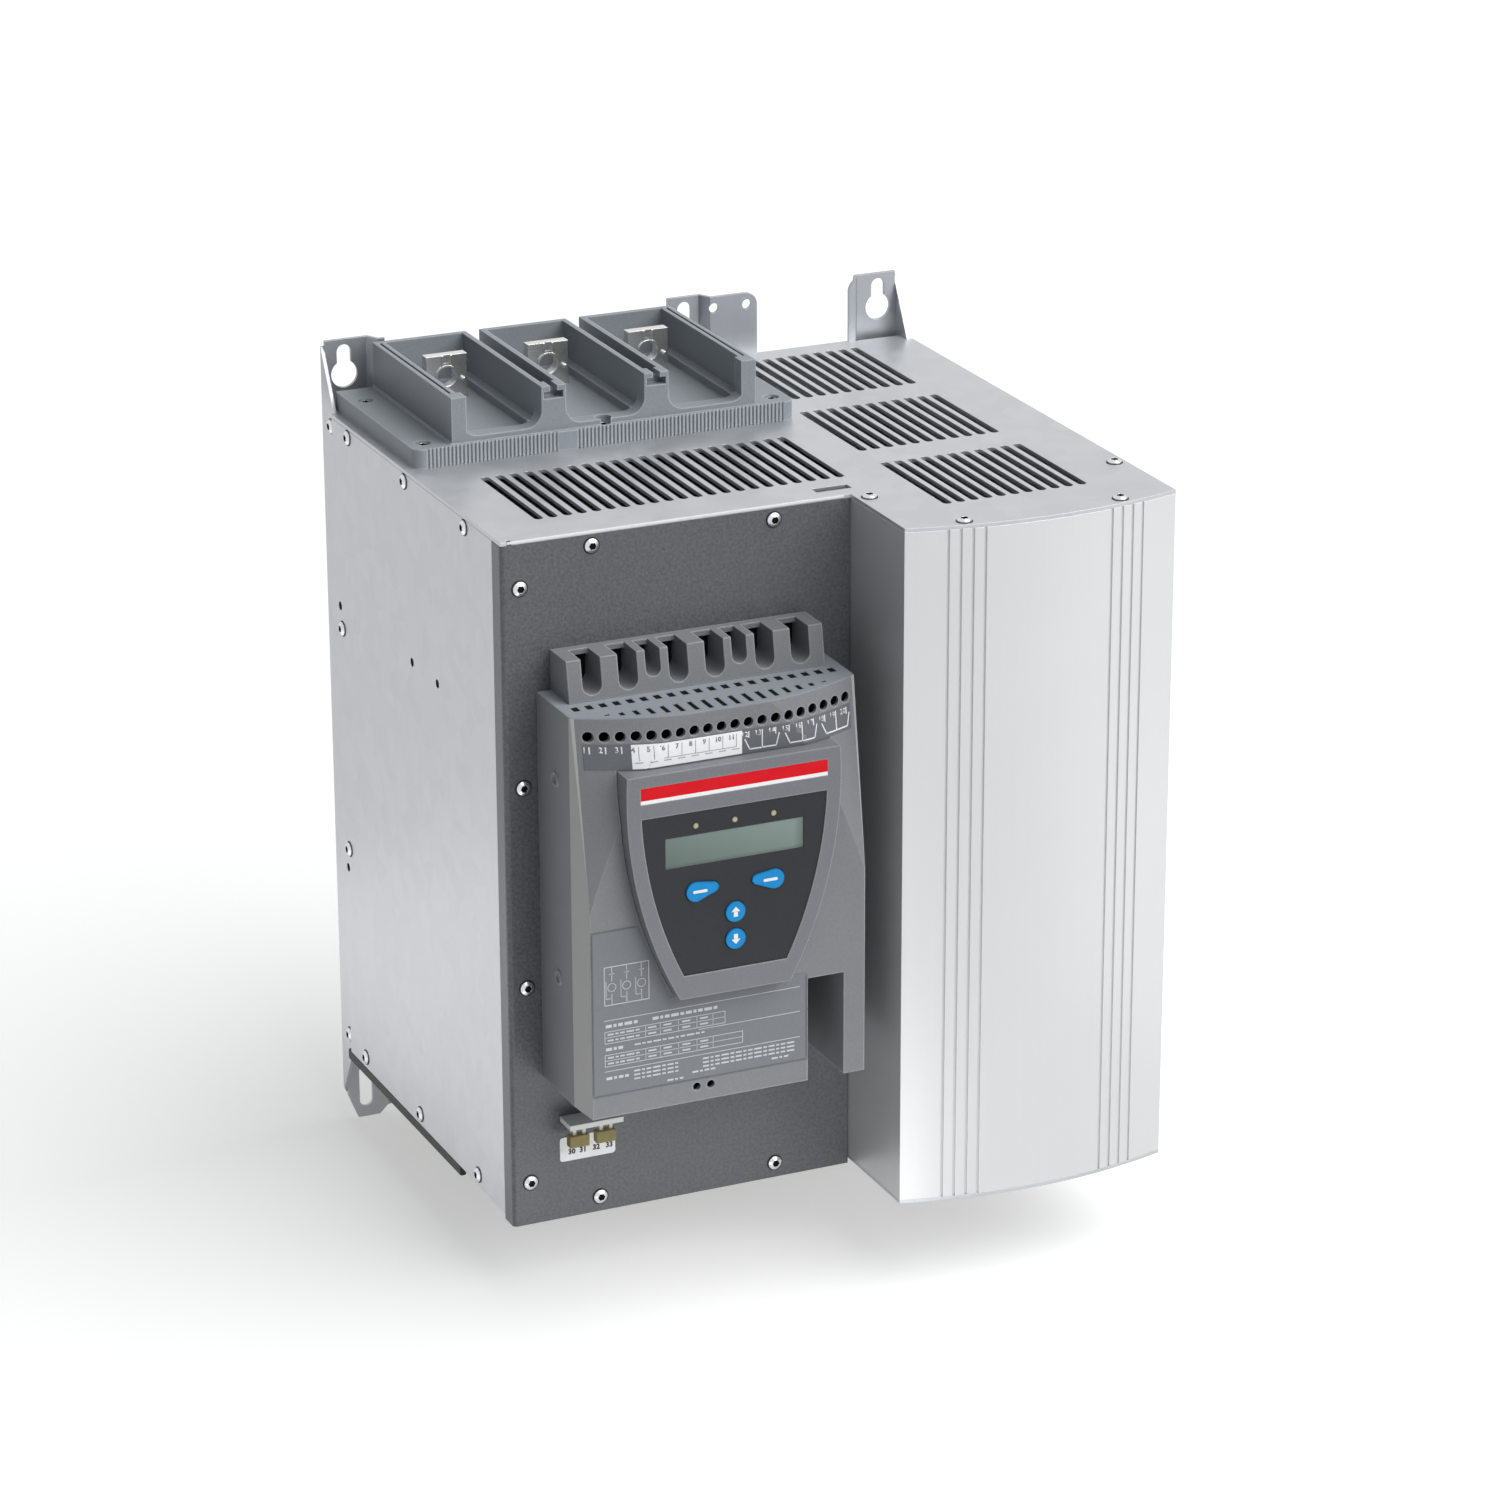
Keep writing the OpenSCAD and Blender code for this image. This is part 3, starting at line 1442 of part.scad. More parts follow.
module fan_frame(i) {
    color(black)
        translate([cover_cx, row_y[i], floor_z]) {
            difference() {
                translate([-fan_w / 2, -fan_w / 2, 0])
                    cube([fan_w, fan_w, fan_h]);
                translate([0, 0, -slack])
                    cylinder(r = fan_r, h = fan_h + 2 * slack, $fn = 64);
                for (x = [-1, 1], y = [-1, 1])
                    translate([x * (fan_w / 2 - 4.5), y * (fan_w / 2 - 4.5), -slack])
                        cylinder(r = 2.1, h = fan_h + 2 * slack, $fn = 24);
            }
            for (a = [0, 120, 240])
                rotate(a)
                    translate([0, -2.5, 0])
                        cube([fan_r + slack, 5, 4]);
            cylinder(r = hub_r - 1, h = 5.5);
            cylinder(r = fan_shaft_r, h = fan_h - 4);
        }
}

module fan_rotor(i) {
    low = 6;
    high = fan_h - 3;
    mid = (low + high) / 2;
    color([0.25, 0.25, 0.26])
        translate([cover_cx, row_y[i], floor_z])
            difference() {
                union() {
                    translate([0, 0, low])
                        cylinder(r = hub_r, h = high - low);
                    for (k = [0:6])
                        rotate(k * 360 / 7)
                            translate([hub_r - slack, 0, mid])
                                rotate([blade_pitch, 0, 0])
                                    translate([0, -0.75, -(high - low) * 0.42])
                                        cube([rotor_r - hub_r + slack, 1.5, (high - low) * 0.84]);
                }
                translate([0, 0, low - slack])
                    cylinder(r = fan_shaft_r + shaft_gap, h = fan_h - 3.8 - low + slack);
            }
}

module contactor_body() {
    y = -plate_rear - contactor_base_d;
    face = -plate_rear - contactor_d;
    depth = carrier_sunk + carrier_l + carrier_travel + 3;
    color(black)
        difference() {
            union() {
                translate([bay_cx - contactor_w / 2, y, contactor_foot])
                    cube([contactor_w, contactor_base_d, contactor_h]);
                translate([bay_cx - contactor_w / 2 + 6, face, contactor_z - contactor_head_h / 2])
                    cube([contactor_w - 12, contactor_d - contactor_base_d + slack, contactor_head_h]);
            }
            translate([bay_cx - carrier_w / 2 - carrier_gap, face - slack,
                       contactor_z - carrier_h / 2 - carrier_gap])
                cube([carrier_w + 2 * carrier_gap, depth + slack, carrier_h + 2 * carrier_gap]);
            for (x = [-0.46, 0.46], s = [-1, 1])
                translate([bay_cx + x * bay_pitch - 1.5, face - slack, contactor_z + s * (contactor_head_h / 2 - 13) - 12])
                    cube([3, 20, 24]);
        }
}

module contact_carrier() {
    face = -plate_rear - contactor_d + carrier_sunk;
    color([0.78, 0.74, 0.62])
        translate([bay_cx - carrier_w / 2, face, contactor_z - carrier_h / 2])
            difference() {
                cube([carrier_w, carrier_l, carrier_h]);
                for (x = [0.25, 0.5, 0.75])
                    translate([carrier_w * x - 6, -slack, 5])
                        cube([12, 8, carrier_h - 10]);
            }
}

module current_transformer(i) {
    color([0.12, 0.2, 0.4])
        difference() {
            translate([bay_x[i] - transformer_w / 2, -bar_y + bar_t / 2 - transformer_d / 2, floor_z])
                cube([transformer_w, transformer_d, transformer_h]);
            translate([bay_x[i] - bar_w / 2 - bar_gap, -bar_y - bar_gap, floor_z - slack])
                cube([bar_w + 2 * bar_gap, bar_t + 2 * bar_gap, transformer_h + 2 * slack]);
        }
}

// Corners of the gate board, for its spacers and holes
module at_gate_corners() {
    for (x = [-1, 1], z = [-1, 1])
        translate([panel_cx + x * (gate_w / 2 - 8), -gate_y, contactor_z + z * (gate_h / 2 - 8)])
            children();
}

module gate_board() {
    color(green)
        translate([panel_cx - gate_w / 2, -gate_y, contactor_z - gate_h / 2])
            cube([gate_w, board_t, gate_h]);
}

module board_spacers() {
    color(tin)
        at_gate_corners()
            rotate([90, 0, 0])
                cylinder(r = spacer_r, h = spacer_l, $fn = 6);
}

module board_parts() {
    color(dark)
        translate([panel_cx, -gate_y + board_t, contactor_z]) {
            translate([-gate_w * 0.37, 0, -gate_h * 0.33])
                cube([gate_w * 0.28, spacer_l * 2.1, gate_h * 0.27]);
            for (i = [0:2]) {
                translate([i * gate_w * 0.15, 0, gate_h * 0.07])
                    cube([gate_w * 0.11, spacer_l, gate_h * 0.19]);
                translate([gate_w * (0.06 + i * 0.15), 0, -gate_h * 0.27])
                    rotate([-90, 0, 0])
                        cylinder(r = gate_w * 0.05, h = spacer_l * 1.9);
            }
            translate([-gate_w * 0.41, 0, gate_h * 0.13])
                cube([gate_w * 0.31, spacer_l * 0.75, gate_h * 0.09]);
        }
}

back_plate();
left_side_panel();
right_side_panel();
top_plate();
bottom_plate();
front_panel();
aluminium_cover();
line_shroud();
load_shroud();
line_busbar(0);  // line_busbar_1
line_busbar(1);  // line_busbar_2
line_busbar(2);  // line_busbar_3
load_busbar(0);  // load_busbar_1
load_busbar(1);  // load_busbar_2
load_busbar(2);  // load_busbar_3
busbar_branches();
side_screws();
front_screws();
plate_screws();
shroud_screws();
control_housing();
cable_comb();
keypad_bezel();
accent_strip();
keypad_panel();
display_module();
display_glass();
status_lights();
left_key();
right_key();
round_key(up_key_z);  // up_key
round_key(down_key_z);  // down_key
keypad_board();
terminal_strip();
terminal_screws();
pin_header();
plug(0);  // plug_1
plug(1);  // plug_2
heat_sink(0);  // heat_sink_1
heat_sink(1);  // heat_sink_2
heat_sink(2);  // heat_sink_3
thyristor(0);  // thyristor_1
thyristor(1);  // thyristor_2
thyristor(2);  // thyristor_3
fan_frame(0);  // fan_frame_1
fan_frame(1);  // fan_frame_2
fan_frame(2);  // fan_frame_3
fan_rotor(0);  // fan_rotor_1
fan_rotor(1);  // fan_rotor_2
fan_rotor(2);  // fan_rotor_3
contactor_body();
contact_carrier();
current_transformer(0);  // current_transformer_1
current_transformer(1);  // current_transformer_2
current_transformer(2);  // current_transformer_3
gate_board();
board_spacers();
board_parts();
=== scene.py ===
"""Dresses the soft starter's solids: camera, studio, finishes and the small pieces they leave out."""
import json
import math

import bpy
from mathutils import Matrix, Vector


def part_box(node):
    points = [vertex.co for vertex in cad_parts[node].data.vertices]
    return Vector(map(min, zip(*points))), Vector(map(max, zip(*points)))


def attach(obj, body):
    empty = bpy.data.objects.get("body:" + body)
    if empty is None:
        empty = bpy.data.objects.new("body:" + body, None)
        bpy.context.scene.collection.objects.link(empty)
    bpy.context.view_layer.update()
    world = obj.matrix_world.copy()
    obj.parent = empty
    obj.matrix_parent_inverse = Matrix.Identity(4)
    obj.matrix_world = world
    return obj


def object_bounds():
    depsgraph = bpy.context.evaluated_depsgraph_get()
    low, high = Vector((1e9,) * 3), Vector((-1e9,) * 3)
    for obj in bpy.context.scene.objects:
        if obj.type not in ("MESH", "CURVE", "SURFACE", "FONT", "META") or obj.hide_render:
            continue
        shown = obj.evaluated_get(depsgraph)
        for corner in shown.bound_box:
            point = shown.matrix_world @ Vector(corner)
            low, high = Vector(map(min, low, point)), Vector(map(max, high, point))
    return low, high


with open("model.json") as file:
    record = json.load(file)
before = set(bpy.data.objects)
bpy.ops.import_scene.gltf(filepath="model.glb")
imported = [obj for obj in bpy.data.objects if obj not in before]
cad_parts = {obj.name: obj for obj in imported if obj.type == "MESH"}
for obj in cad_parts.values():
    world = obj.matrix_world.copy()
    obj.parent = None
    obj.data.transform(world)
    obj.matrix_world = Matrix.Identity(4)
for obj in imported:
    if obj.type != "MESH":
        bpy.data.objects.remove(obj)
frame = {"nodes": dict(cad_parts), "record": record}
cad_low, cad_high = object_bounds()
MM = 0.001


def pick_nothing():
    """Leaves no object selected, so that the next operator acts on the new piece alone."""
    if bpy.context.object and bpy.context.object.mode != "OBJECT":
        bpy.ops.object.mode_set(mode="OBJECT")
    bpy.ops.object.select_all(action="DESELECT")


def box_mm(node):
    """Lowest and highest corners of a CAD node, in mm."""
    return [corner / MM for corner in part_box(node)]


# Camera at the photograph's viewing angle

def set_camera():
    eye = Vector((-1.1049, -2.6350, 0.8202))
    ahead = Vector((0.38469, 0.85443, -0.34923)).normalized()
    right = Vector((0.91141, -0.41150, -0.00282)).normalized()
    up = right.cross(ahead)
    pick_nothing()
    bpy.ops.object.camera_add()
    camera = bpy.context.object
    camera.name = "camera"
    camera.matrix_world = Matrix.Translation(eye) @ Matrix((right, up, -ahead)).transposed().to_4x4()
    camera.data.sensor_width = 36
    camera.data.lens = 127.95
    bpy.context.scene.camera = camera


set_camera()


# Finishes

def paint(code):
    """A colour written as six hex digits, as the linear colour that a shader takes."""
    parts = [int(code[i:i + 2], 16) / 255 for i in (0, 2, 4)]
    linear = [p / 12.92 if p <= 0.04045 else ((p + 0.055) / 1.055) ** 2.4 for p in parts]
    return (*linear, 1)


class Amount:
    """A number that changes over a surface: a socket, whose arithmetic adds Math nodes."""

    def __init__(self, finish, socket):
        self.finish = finish
        self.socket = socket

    def math(self, operation, first, second):
        return self.finish.node("ShaderNodeMath", {"operation": operation}, {0: first, 1: second})

    def __add__(self, other):
        return self.math("ADD", self, other)

    def __radd__(self, other):
        return self.math("ADD", other, self)

    def __sub__(self, other):
        return self.math("SUBTRACT", self, other)

    def __rsub__(self, other):
        return self.math("SUBTRACT", other, self)

    def __mul__(self, other):
        return self.math("MULTIPLY", self, other)

    def __rmul__(self, other):
        return self.math("MULTIPLY", other, self)

    def __truediv__(self, other):
        return self.math("DIVIDE", self, other)

    def __rtruediv__(self, other):
        return self.math("DIVIDE", other, self)

    def __gt__(self, other):
        return self.math("GREATER_THAN", self, other)

    def __lt__(self, other):
        return self.math("LESS_THAN", self, other)

    def __abs__(self):
        return self.math("ABSOLUTE", self, 0)


class Finish:
    """A material in the making: its nodes and the shader that they feed. Sizes are in metres."""

    def __init__(self, name, metallic=0.0):
        self.material = bpy.data.materials.new(name)
        self.material.use_nodes = True
        self.tree = self.material.node_tree
        self.shader = self.tree.nodes["Principled BSDF"]
        self.shader.inputs["Metallic"].default_value = metallic
        self.spot = self.node("ShaderNodeTexCoord", output="Object")

    def node(self, kind, settings=None, sockets=None, output=0):
        """Adds a node with these settings, and these values or links of its sockets."""
        made = self.tree.nodes.new(kind)
        for name, value in (settings or {}).items():
            setattr(made, name, value)
        for key, value in (sockets or {}).items():
            self.feed(made.inputs[key], value)
        return Amount(self, made.outputs[output])

    def feed(self, socket, value):
        if isinstance(value, Amount):
            self.tree.links.new(value.socket, socket)
        else:
            socket.default_value = value

    def along(self):
        """The place on the piece, as three numbers."""
        split = self.node("ShaderNodeSeparateXYZ", sockets={0: self.spot})
        return [Amount(self, out) for out in split.socket.node.outputs]

    def scaled(self, size, stretch=(1, 1, 1)):
        """The place in units of size, drawn out along the axes by stretch."""
        scale = [1 / (size * s) for s in stretch]
        return self.node("ShaderNodeMapping", sockets={"Vector": self.spot, "Scale": scale})

    def noise(self, size, stretch=(1, 1, 1), detail=2.0):
        """Soft cloudy variation from 0 to 1 whose features are about that size."""
        return self.node("ShaderNodeTexNoise", sockets={
            "Vector": self.scaled(size, stretch), "Scale": 1.0, "Detail": detail})

    def grains(self, size):
        """Cells of about that size, each with a grey of its own."""
        return self.node("ShaderNodeTexVoronoi", sockets={
            "Vector": self.scaled(size), "Scale": 1.0}, output="Color")

    def blend(self, part, first, second):
        """The first colour where part is 0 and the second where it is 1."""
        return self.node("ShaderNodeMix", {"data_type": "RGBA"}, {0: part, 6: first, 7: second}, output=2)

    def spread(self, value, low, high):
        """Draws the range from low to high out to 0 to 1."""
        return self.node("ShaderNodeMapRange", sockets={"Value": value, "From Min": low, "From Max": high})

    def edges(self, width):
        """0 on flat faces and up to 1 along edges, where a rounded normal leans away from the flat one."""
        nearly_flat = 0.995
        well_rounded = 0.75
        rounded = self.node("ShaderNodeBevel", {"samples": 4}, {"Radius": width})
        flat = self.node("ShaderNodeNewGeometry", output="Normal")
        alike = self.node(
            "ShaderNodeVectorMath", {"operation": "DOT_PRODUCT"}, {0: rounded, 1: flat}, output="Value")
        return self.spread(alike, nearly_flat, well_rounded)

    def colour(self, value):
        self.feed(self.shader.inputs["Base Color"], value)

    def rough(self, value):
        self.feed(self.shader.inputs["Roughness"], value)

    def gloss(self, value):
        self.shader.inputs["Specular IOR Level"].default_value = value

    def relief(self, height, depth, edge=0.0004):
        """Bump of that depth over edges that are softened by a small radius."""
        soft = self.node("ShaderNodeBevel", {"samples": 4}, {"Radius": edge})
        normal = self.node("ShaderNodeBump", sockets={
            "Strength": 1.0, "Distance": depth, "Height": height, "Normal": soft})
        self.feed(self.shader.inputs["Normal"], normal)


def galvanised_sheet():
    """Zinc with a faint spangle, and painted shade that turns the hanging ears above the top plate greyer."""
    f = Finish("galvanised sheet", metallic=0.7)
    spangle = f.grains(0.011)
    cloud = f.noise(0.06, detail=3.0)
    rolled = f.noise(0.0016, (1, 1, 14))
    sheet = f.blend(0.45 * spangle + 0.35 * cloud + 0.2 * rolled, paint("b6b8bc"), paint("c9cbce"))
    ear_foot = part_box("top_plate")[1].z
    fade = 14 * MM
    # Painted shade: the ears above the top plate fade to a greyer colour over a short height.
    ear_shade = f.spread(f.along()[2], ear_foot, ear_foot + fade)
    f.colour(f.blend(0.5 * ear_shade, sheet, paint("868b92")))
    f.rough(0.3 + 0.14 * cloud + 0.06 * spangle)
    f.relief(rolled, 0.000004)
    return f


def dark_powder_coat():
    f = Finish("dark powder coat")
    orange_peel = f.spread(f.noise(0.0017, detail=4.0), 0.32, 0.68)
    cloud = f.noise(0.09)
    f.colour(f.blend(0.7 * orange_peel + 0.3 * cloud, paint("494b4e"), paint("66686b")))
    f.rough(0.28 + 0.16 * orange_peel)
    f.relief(orange_peel, 0.00008, 0.0006)
    return f


def extruded_aluminium():
    """Aluminium with fine lines along the way it was drawn."""
    f = Finish("extruded aluminium", metallic=0.65)
    drawn = f.noise(0.0012, (1, 1, 220), 3.0)
    cloud = f.noise(0.12)
    f.colour(f.blend(0.25 * drawn + 0.75 * cloud, paint("cdcecf"), paint("d9dada")))
    f.rough(0.34 + 0.06 * drawn + 0.04 * cloud)
    f.relief(drawn, 0.000002, 0.0005)
    return f


def moulded_plastic(name, deep, light, roughness=0.5, edge=0.0006, gloss=0.3, edge_highlight=None, painted_highlights=()):
    """Plastic with a spark-eroded grain: paler on the grain's tops, with a painted highlight along edges and
    on chosen facets.
    """
    f = Finish(name)
    f.gloss(gloss)
    grain = f.spread(f.noise(0.0009, detail=3.0), 0.3, 0.7)
    cloud = f.noise(0.05)
    body = f.blend(0.5 * grain + 0.5 * cloud, paint(deep), paint(light))
    # Painted highlight: a paler colour along edges, where light would catch them.
    if edge_highlight:
        body = f.blend(f.edges(0.0014) * 0.85, body, paint(edge_highlight))
    # Painted highlight: the facets that each mask picks are painted paler.
    for highlight_mask, highlight_paint in painted_highlights:
        body = f.blend(highlight_mask(f), body, paint(highlight_paint))
    f.colour(body)
    f.rough(roughness - 0.08 + 0.16 * grain)
    f.relief(grain, 0.00005, edge)
    return f


def corner_facets(f):
    """1 on the two upright facets that turn the housing's sides into its front, which are painted paler as a
    highlight.
    """
    flat_half = 76.98 * MM
    facet_deep = 19.8 * MM
    low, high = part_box("control_housing")
    x, y = f.along()[:2]
    off_middle = abs(x - (low.x + high.x) / 2)
    return (off_middle > flat_half) * (y < low.y + facet_deep)


def ledge_top(f):
    """1 on the flat of the housing's ledge, painted paler as light from above would leave it."""
    reach = 0.3 * MM
    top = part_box("control_housing")[1].z
    z = f.along()[2]
    return (z > top - reach) * (z < top + reach)


def tinned_copper():
    f = Finish("tinned copper", metallic=1.0)
    brushed = f.noise(0.0006, (1, 1, 40))
    cloud = f.noise(0.02)
    f.colour(f.blend(0.5 * brushed + 0.5 * cloud, paint("cfcecb"), paint("e2e1de")))
    f.rough(0.22 + 0.12 * cloud)
    f.relief(brushed, 0.000008)
    return f


def plated_steel():
    f = Finish("plated steel", metallic=1.0)
    cloud = f.noise(0.003, detail=3.0)
    f.colour(f.blend(cloud, paint("c2c3c6"), paint("e2e3e5")))
    f.rough(0.18 + 0.2 * cloud)
    f.relief(cloud, 0.00002, 0.0003)
    return f


def accent_film():
    """Red film with a white line along its lower edge."""
    line_high = 2.0 * MM
    f = Finish("accent film")
    f.gloss(0.1)
    line = f.along()[2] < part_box("accent_strip")[0].z + line_high
    cloud = f.noise(0.01)
    red = f.blend(cloud, paint("d2141e"), paint("de222c"))
    f.colour(f.blend(line, red, paint("f2f2f0")))
    f.rough(0.28 + 0.1 * cloud)
    f.relief(f.noise(0.0006), 0.00001, 0.0002)
    return f


def display_film():
    """Reflective display under a hard coat: green-grey and darker to the left, with painted shade at its foot
    and its right end.
    """
    f = Finish("display film")
    low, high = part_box("display_glass")
    x, z = f.along()[::2]
    across = (x - low.x) / (high.x - low.x)
    height = (z - low.z) / (high.z - low.z)
    cloud = f.noise(0.02)
    glass = f.blend(across * 0.5 + height * 0.35 + cloud * 0.15, paint("4d5e57"), paint("7f908a"))
    # Painted shade: darker at the right end and along the foot, where the window's rim would shade the
    # display.
    right_end_shade = f.spread(across, 0.93, 1.0)
    foot = f.spread(height, 0.14, 0.0)
    f.colour(f.blend(0.55 * right_end_shade + 0.45 * foot, glass, paint("2f3835")))
    f.rough(0.16 + 0.06 * cloud)
    f.shader.inputs["Coat Weight"].default_value = 0.4
    f.relief(f.noise(0.0004, detail=1.0), 0.000004, 0.0002)
    return f


def glossy_plastic(name, deep, light, roughness, rim=None):
    """Smooth plastic or ink, with a darker rim of painted shade where one is given."""
    f = Finish(name)
    f.gloss(0.3)
    cloud = f.noise(0.004, detail=3.0)
    body = f.blend(cloud, paint(deep), paint(light))
    # Painted shade: the colour darkens along edges, where the rim turns away from the light.
    if rim:
        body = f.blend(f.edges(0.0012) * 0.9, body, paint(rim))
    f.colour(body)
    f.rough(roughness - 0.05 + 0.1 * cloud)
    f.relief(cloud, 0.00002)
    return f


def bare_aluminium():
    f = Finish("bare aluminium", metallic=1.0)
    drawn = f.noise(0.001, (1, 1, 80), 3.0)
    f.colour(f.blend(drawn, paint("b4b6b9"), paint("cfd0d3")))
    f.rough(0.34 + 0.14 * drawn)
    f.relief(drawn, 0.00001, 0.0003)
    return f


FINISHES = {
    "galvanised_sheet": galvanised_sheet(),
    "dark_powder_coat": dark_powder_coat(),
    "extruded_aluminium": extruded_aluminium(),
    # Painted highlight: the shroud plastic is paler along its edges.
    "shroud_plastic": moulded_plastic("shroud plastic", "83888d", "94999e", edge_highlight="c6cacd"),
    "tinned_copper": tinned_copper(),
    "screw_steel": plated_steel(),
    # Housing plastic: painted highlights along its edges, on its corner facets and on the ledge's flat.
    "housing_plastic": moulded_plastic(
        "housing plastic", "76787b", "858789", edge=0.0009, gloss=0.25, edge_highlight="bcbec1",
        painted_highlights=((corner_facets, "b0afad"), (ledge_top, "90959b"))),
    # Painted highlight: the bezel plastic is paler along its edges.
    "bezel_plastic": moulded_plastic("bezel plastic", "6f7175", "7d7f83", 0.45, edge=0.0007, edge_highlight="aaadb1"),
    "accent_red": accent_film(),
    "keypad_black": moulded_plastic("keypad film", "212225", "2b2c2f", 0.46, edge=0.0003),
    "display_glass": display_film(),
    # The darker rims of the lens and the keys are painted shade.
    "light_lens": glossy_plastic("light lens", "a89f84", "c4bb9e", 0.25, rim="4a463c"),
    "key_blue": glossy_plastic("key blue", "067fc0", "148fd0", 0.4, rim="0a5280"),
    "board_green": glossy_plastic("board green", "1f5a37", "2c6e46", 0.35),
    "white_plastic": glossy_plastic("white plastic", "e4e4e0", "f0f0ec", 0.4),
    "plug_olive": glossy_plastic("plug olive", "7c7142", "948a58", 0.42),
    "sink_aluminium": bare_aluminium(),
    "black_plastic": moulded_plastic("black plastic", "1c1d1f", "2a2b2d"),
    "carrier_plastic": moulded_plastic("carrier plastic", "c0b593", "cfc5a6"),
    "transformer_blue": glossy_plastic("transformer blue", "1d3566", "2a4680", 0.4),
}
for part in frame["record"]["subparts"]:
    node = frame["nodes"][part["node"]]
    node.data.materials.clear()
    node.data.materials.append(FINISHES[part["material_slot"]].material)


# Ways to make the small pieces that the solids leave out, with sizes in mm

WELD = 0.001 * MM


def take(piece):
    """Selects one piece alone."""
    pick_nothing()
    piece.select_set(True)
    bpy.context.view_layer.objects.active = piece


def use(piece, kind, **settings):
    """Adds a modifier with these settings and applies it."""
    take(piece)
    bpy.ops.object.modifier_add(type=kind)
    modifier = piece.modifiers[-1]
    for name, value in settings.items():
        setattr(modifier, name, value)
    bpy.ops.object.modifier_apply(modifier=modifier.name)


def model_all(piece, operator, **settings):
    """Runs a modelling operator on the whole of a piece."""
    take(piece)
    bpy.ops.object.mode_set(mode="EDIT")
    bpy.ops.mesh.select_all(action="SELECT")
    operator(**settings)
    bpy.ops.object.mode_set(mode="OBJECT")


def place_in_mesh(piece):
    take(piece)
    bpy.ops.object.transform_apply(location=True, rotation=True, scale=True)


def stretch(size):
    """Gives the piece just added its size along its own axes."""
    piece = bpy.context.object
    piece.scale = size
    place_in_mesh(piece)
    return piece


def block(size, middle):
    """A box to start a piece from."""
    pick_nothing()
    bpy.ops.mesh.primitive_cube_add(size=MM, location=[place * MM for place in middle])
    return stretch(size)


def turned(sides, radius, depth, middle, turn=0):
    """A short upright cylinder to start a turned piece from."""
    pick_nothing()
    bpy.ops.mesh.primitive_cylinder_add(
        vertices=sides, radius=radius * MM, depth=depth * MM,
        location=[place * MM for place in middle], rotation=(0, 0, turn))
    piece = bpy.context.object
    place_in_mesh(piece)
    return piece


def clear_picks(piece, kind):
    """Says whether points or faces of a piece are picked next, and picks none."""
    take(piece)
    bpy.ops.object.mode_set(mode="EDIT")
    bpy.ops.mesh.select_mode(type=kind)
    bpy.ops.mesh.select_all(action="DESELECT")
    bpy.ops.object.mode_set(mode="OBJECT")


def pick_faces(piece, wanted):
    """Selects the faces whose normal passes a test, and opens the piece for modelling."""
    clear_picks(piece, "FACE")
    for face in piece.data.polygons:
        face.select = wanted(face.normal)
    bpy.ops.object.mode_set(mode="EDIT")


def move_points(piece, wanted, step):
    """Moves the points of a piece that pass a test."""
    clear_picks(piece, "VERT")
    for point in piece.data.vertices:
        point.select = wanted(point.co)
    bpy.ops.object.mode_set(mode="EDIT")
    bpy.ops.transform.translate(value=step)
    bpy.ops.object.mode_set(mode="OBJECT")


def turn_outwards(piece):
    """Merges what lies together and makes the faces point outwards."""
    model_all(piece, bpy.ops.mesh.remove_doubles, threshold=WELD)
    model_all(piece, bpy.ops.mesh.normals_make_consistent, inside=False)


def hollow_out(piece, rim, deep=None):
    """Leaves a rim round the upper end of a turned piece and sinks the rest, or cuts the piece through."""
    through = deep is None
    pick_faces(piece, lambda normal: normal.z > 0.9 or (through and normal.z < -0.9))
    bpy.ops.mesh.inset(thickness=rim * MM)
    if through:
        bpy.ops.mesh.bridge_edge_loops()
    else:
        bpy.ops.mesh.extrude_region_move(TRANSFORM_OT_translate={"value": (0, 0, -deep * MM)})
    bpy.ops.object.mode_set(mode="OBJECT")
    turn_outwards(piece)


def join(pieces):
    """Makes one piece of several."""
    take(pieces[0])
    for piece in pieces:
        piece.select_set(True)
    if len(pieces) > 1:
        bpy.ops.object.join()
    return bpy.context.object


def copy_to(piece, spot, turn=(0, 0, 0)):
    """A copy of a piece with a mesh of its own, turned about the origin and moved to a spot in metres."""
    take(piece)
    bpy.ops.object.duplicate(linked=False)
    copy = bpy.context.object
    copy.location = spot
    copy.rotation_euler = turn
    place_in_mesh(copy)
    return copy


def remove(piece):
    take(piece)
    bpy.ops.object.delete()


def settle(piece, name, body, finish):
    """Names a finished piece, gives it its finish and lets it ride on its body."""
    place_in_mesh(piece)
    piece.name = name
    piece.data.name = name
    piece.data.materials.clear()
    piece.data.materials.append(finish.material)
    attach(piece, body)


def front_lines(lines, level, cuts=0):
    """Flat bars that face the front at a depth: each from one point to another, with a width."""
    bars = []
    for x1, z1, x2, z2, width in lines:
        pick_nothing()
        middle = ((x1 + x2) / 2 * MM, level * MM, (z1 + z2) / 2 * MM)
        slope = math.atan2(z1 - z2, x2 - x1)
        length = math.hypot(x2 - x1, z2 - z1)
        bpy.ops.mesh.primitive_plane_add(size=MM, location=middle, rotation=(math.pi / 2, slope, 0))
        bars.append(stretch((length, width, 1)))
    made = join(bars)
    if cuts:
        model_all(made, bpy.ops.mesh.subdivide, number_cuts=cuts)
    return made


def front_sheet(left, right, low, high, level, columns=1, rows=1):
    """A flat sheet that faces the front, cut into columns and rows so that it can follow a bowed face."""
    pick_nothing()
    bpy.ops.mesh.primitive_grid_add(
        x_subdivisions=columns, y_subdivisions=rows, size=MM,
        location=((left + right) / 2 * MM, level * MM, (low + high) / 2 * MM), rotation=(math.pi / 2, 0, 0))
    return stretch((right - left, high - low, 1))


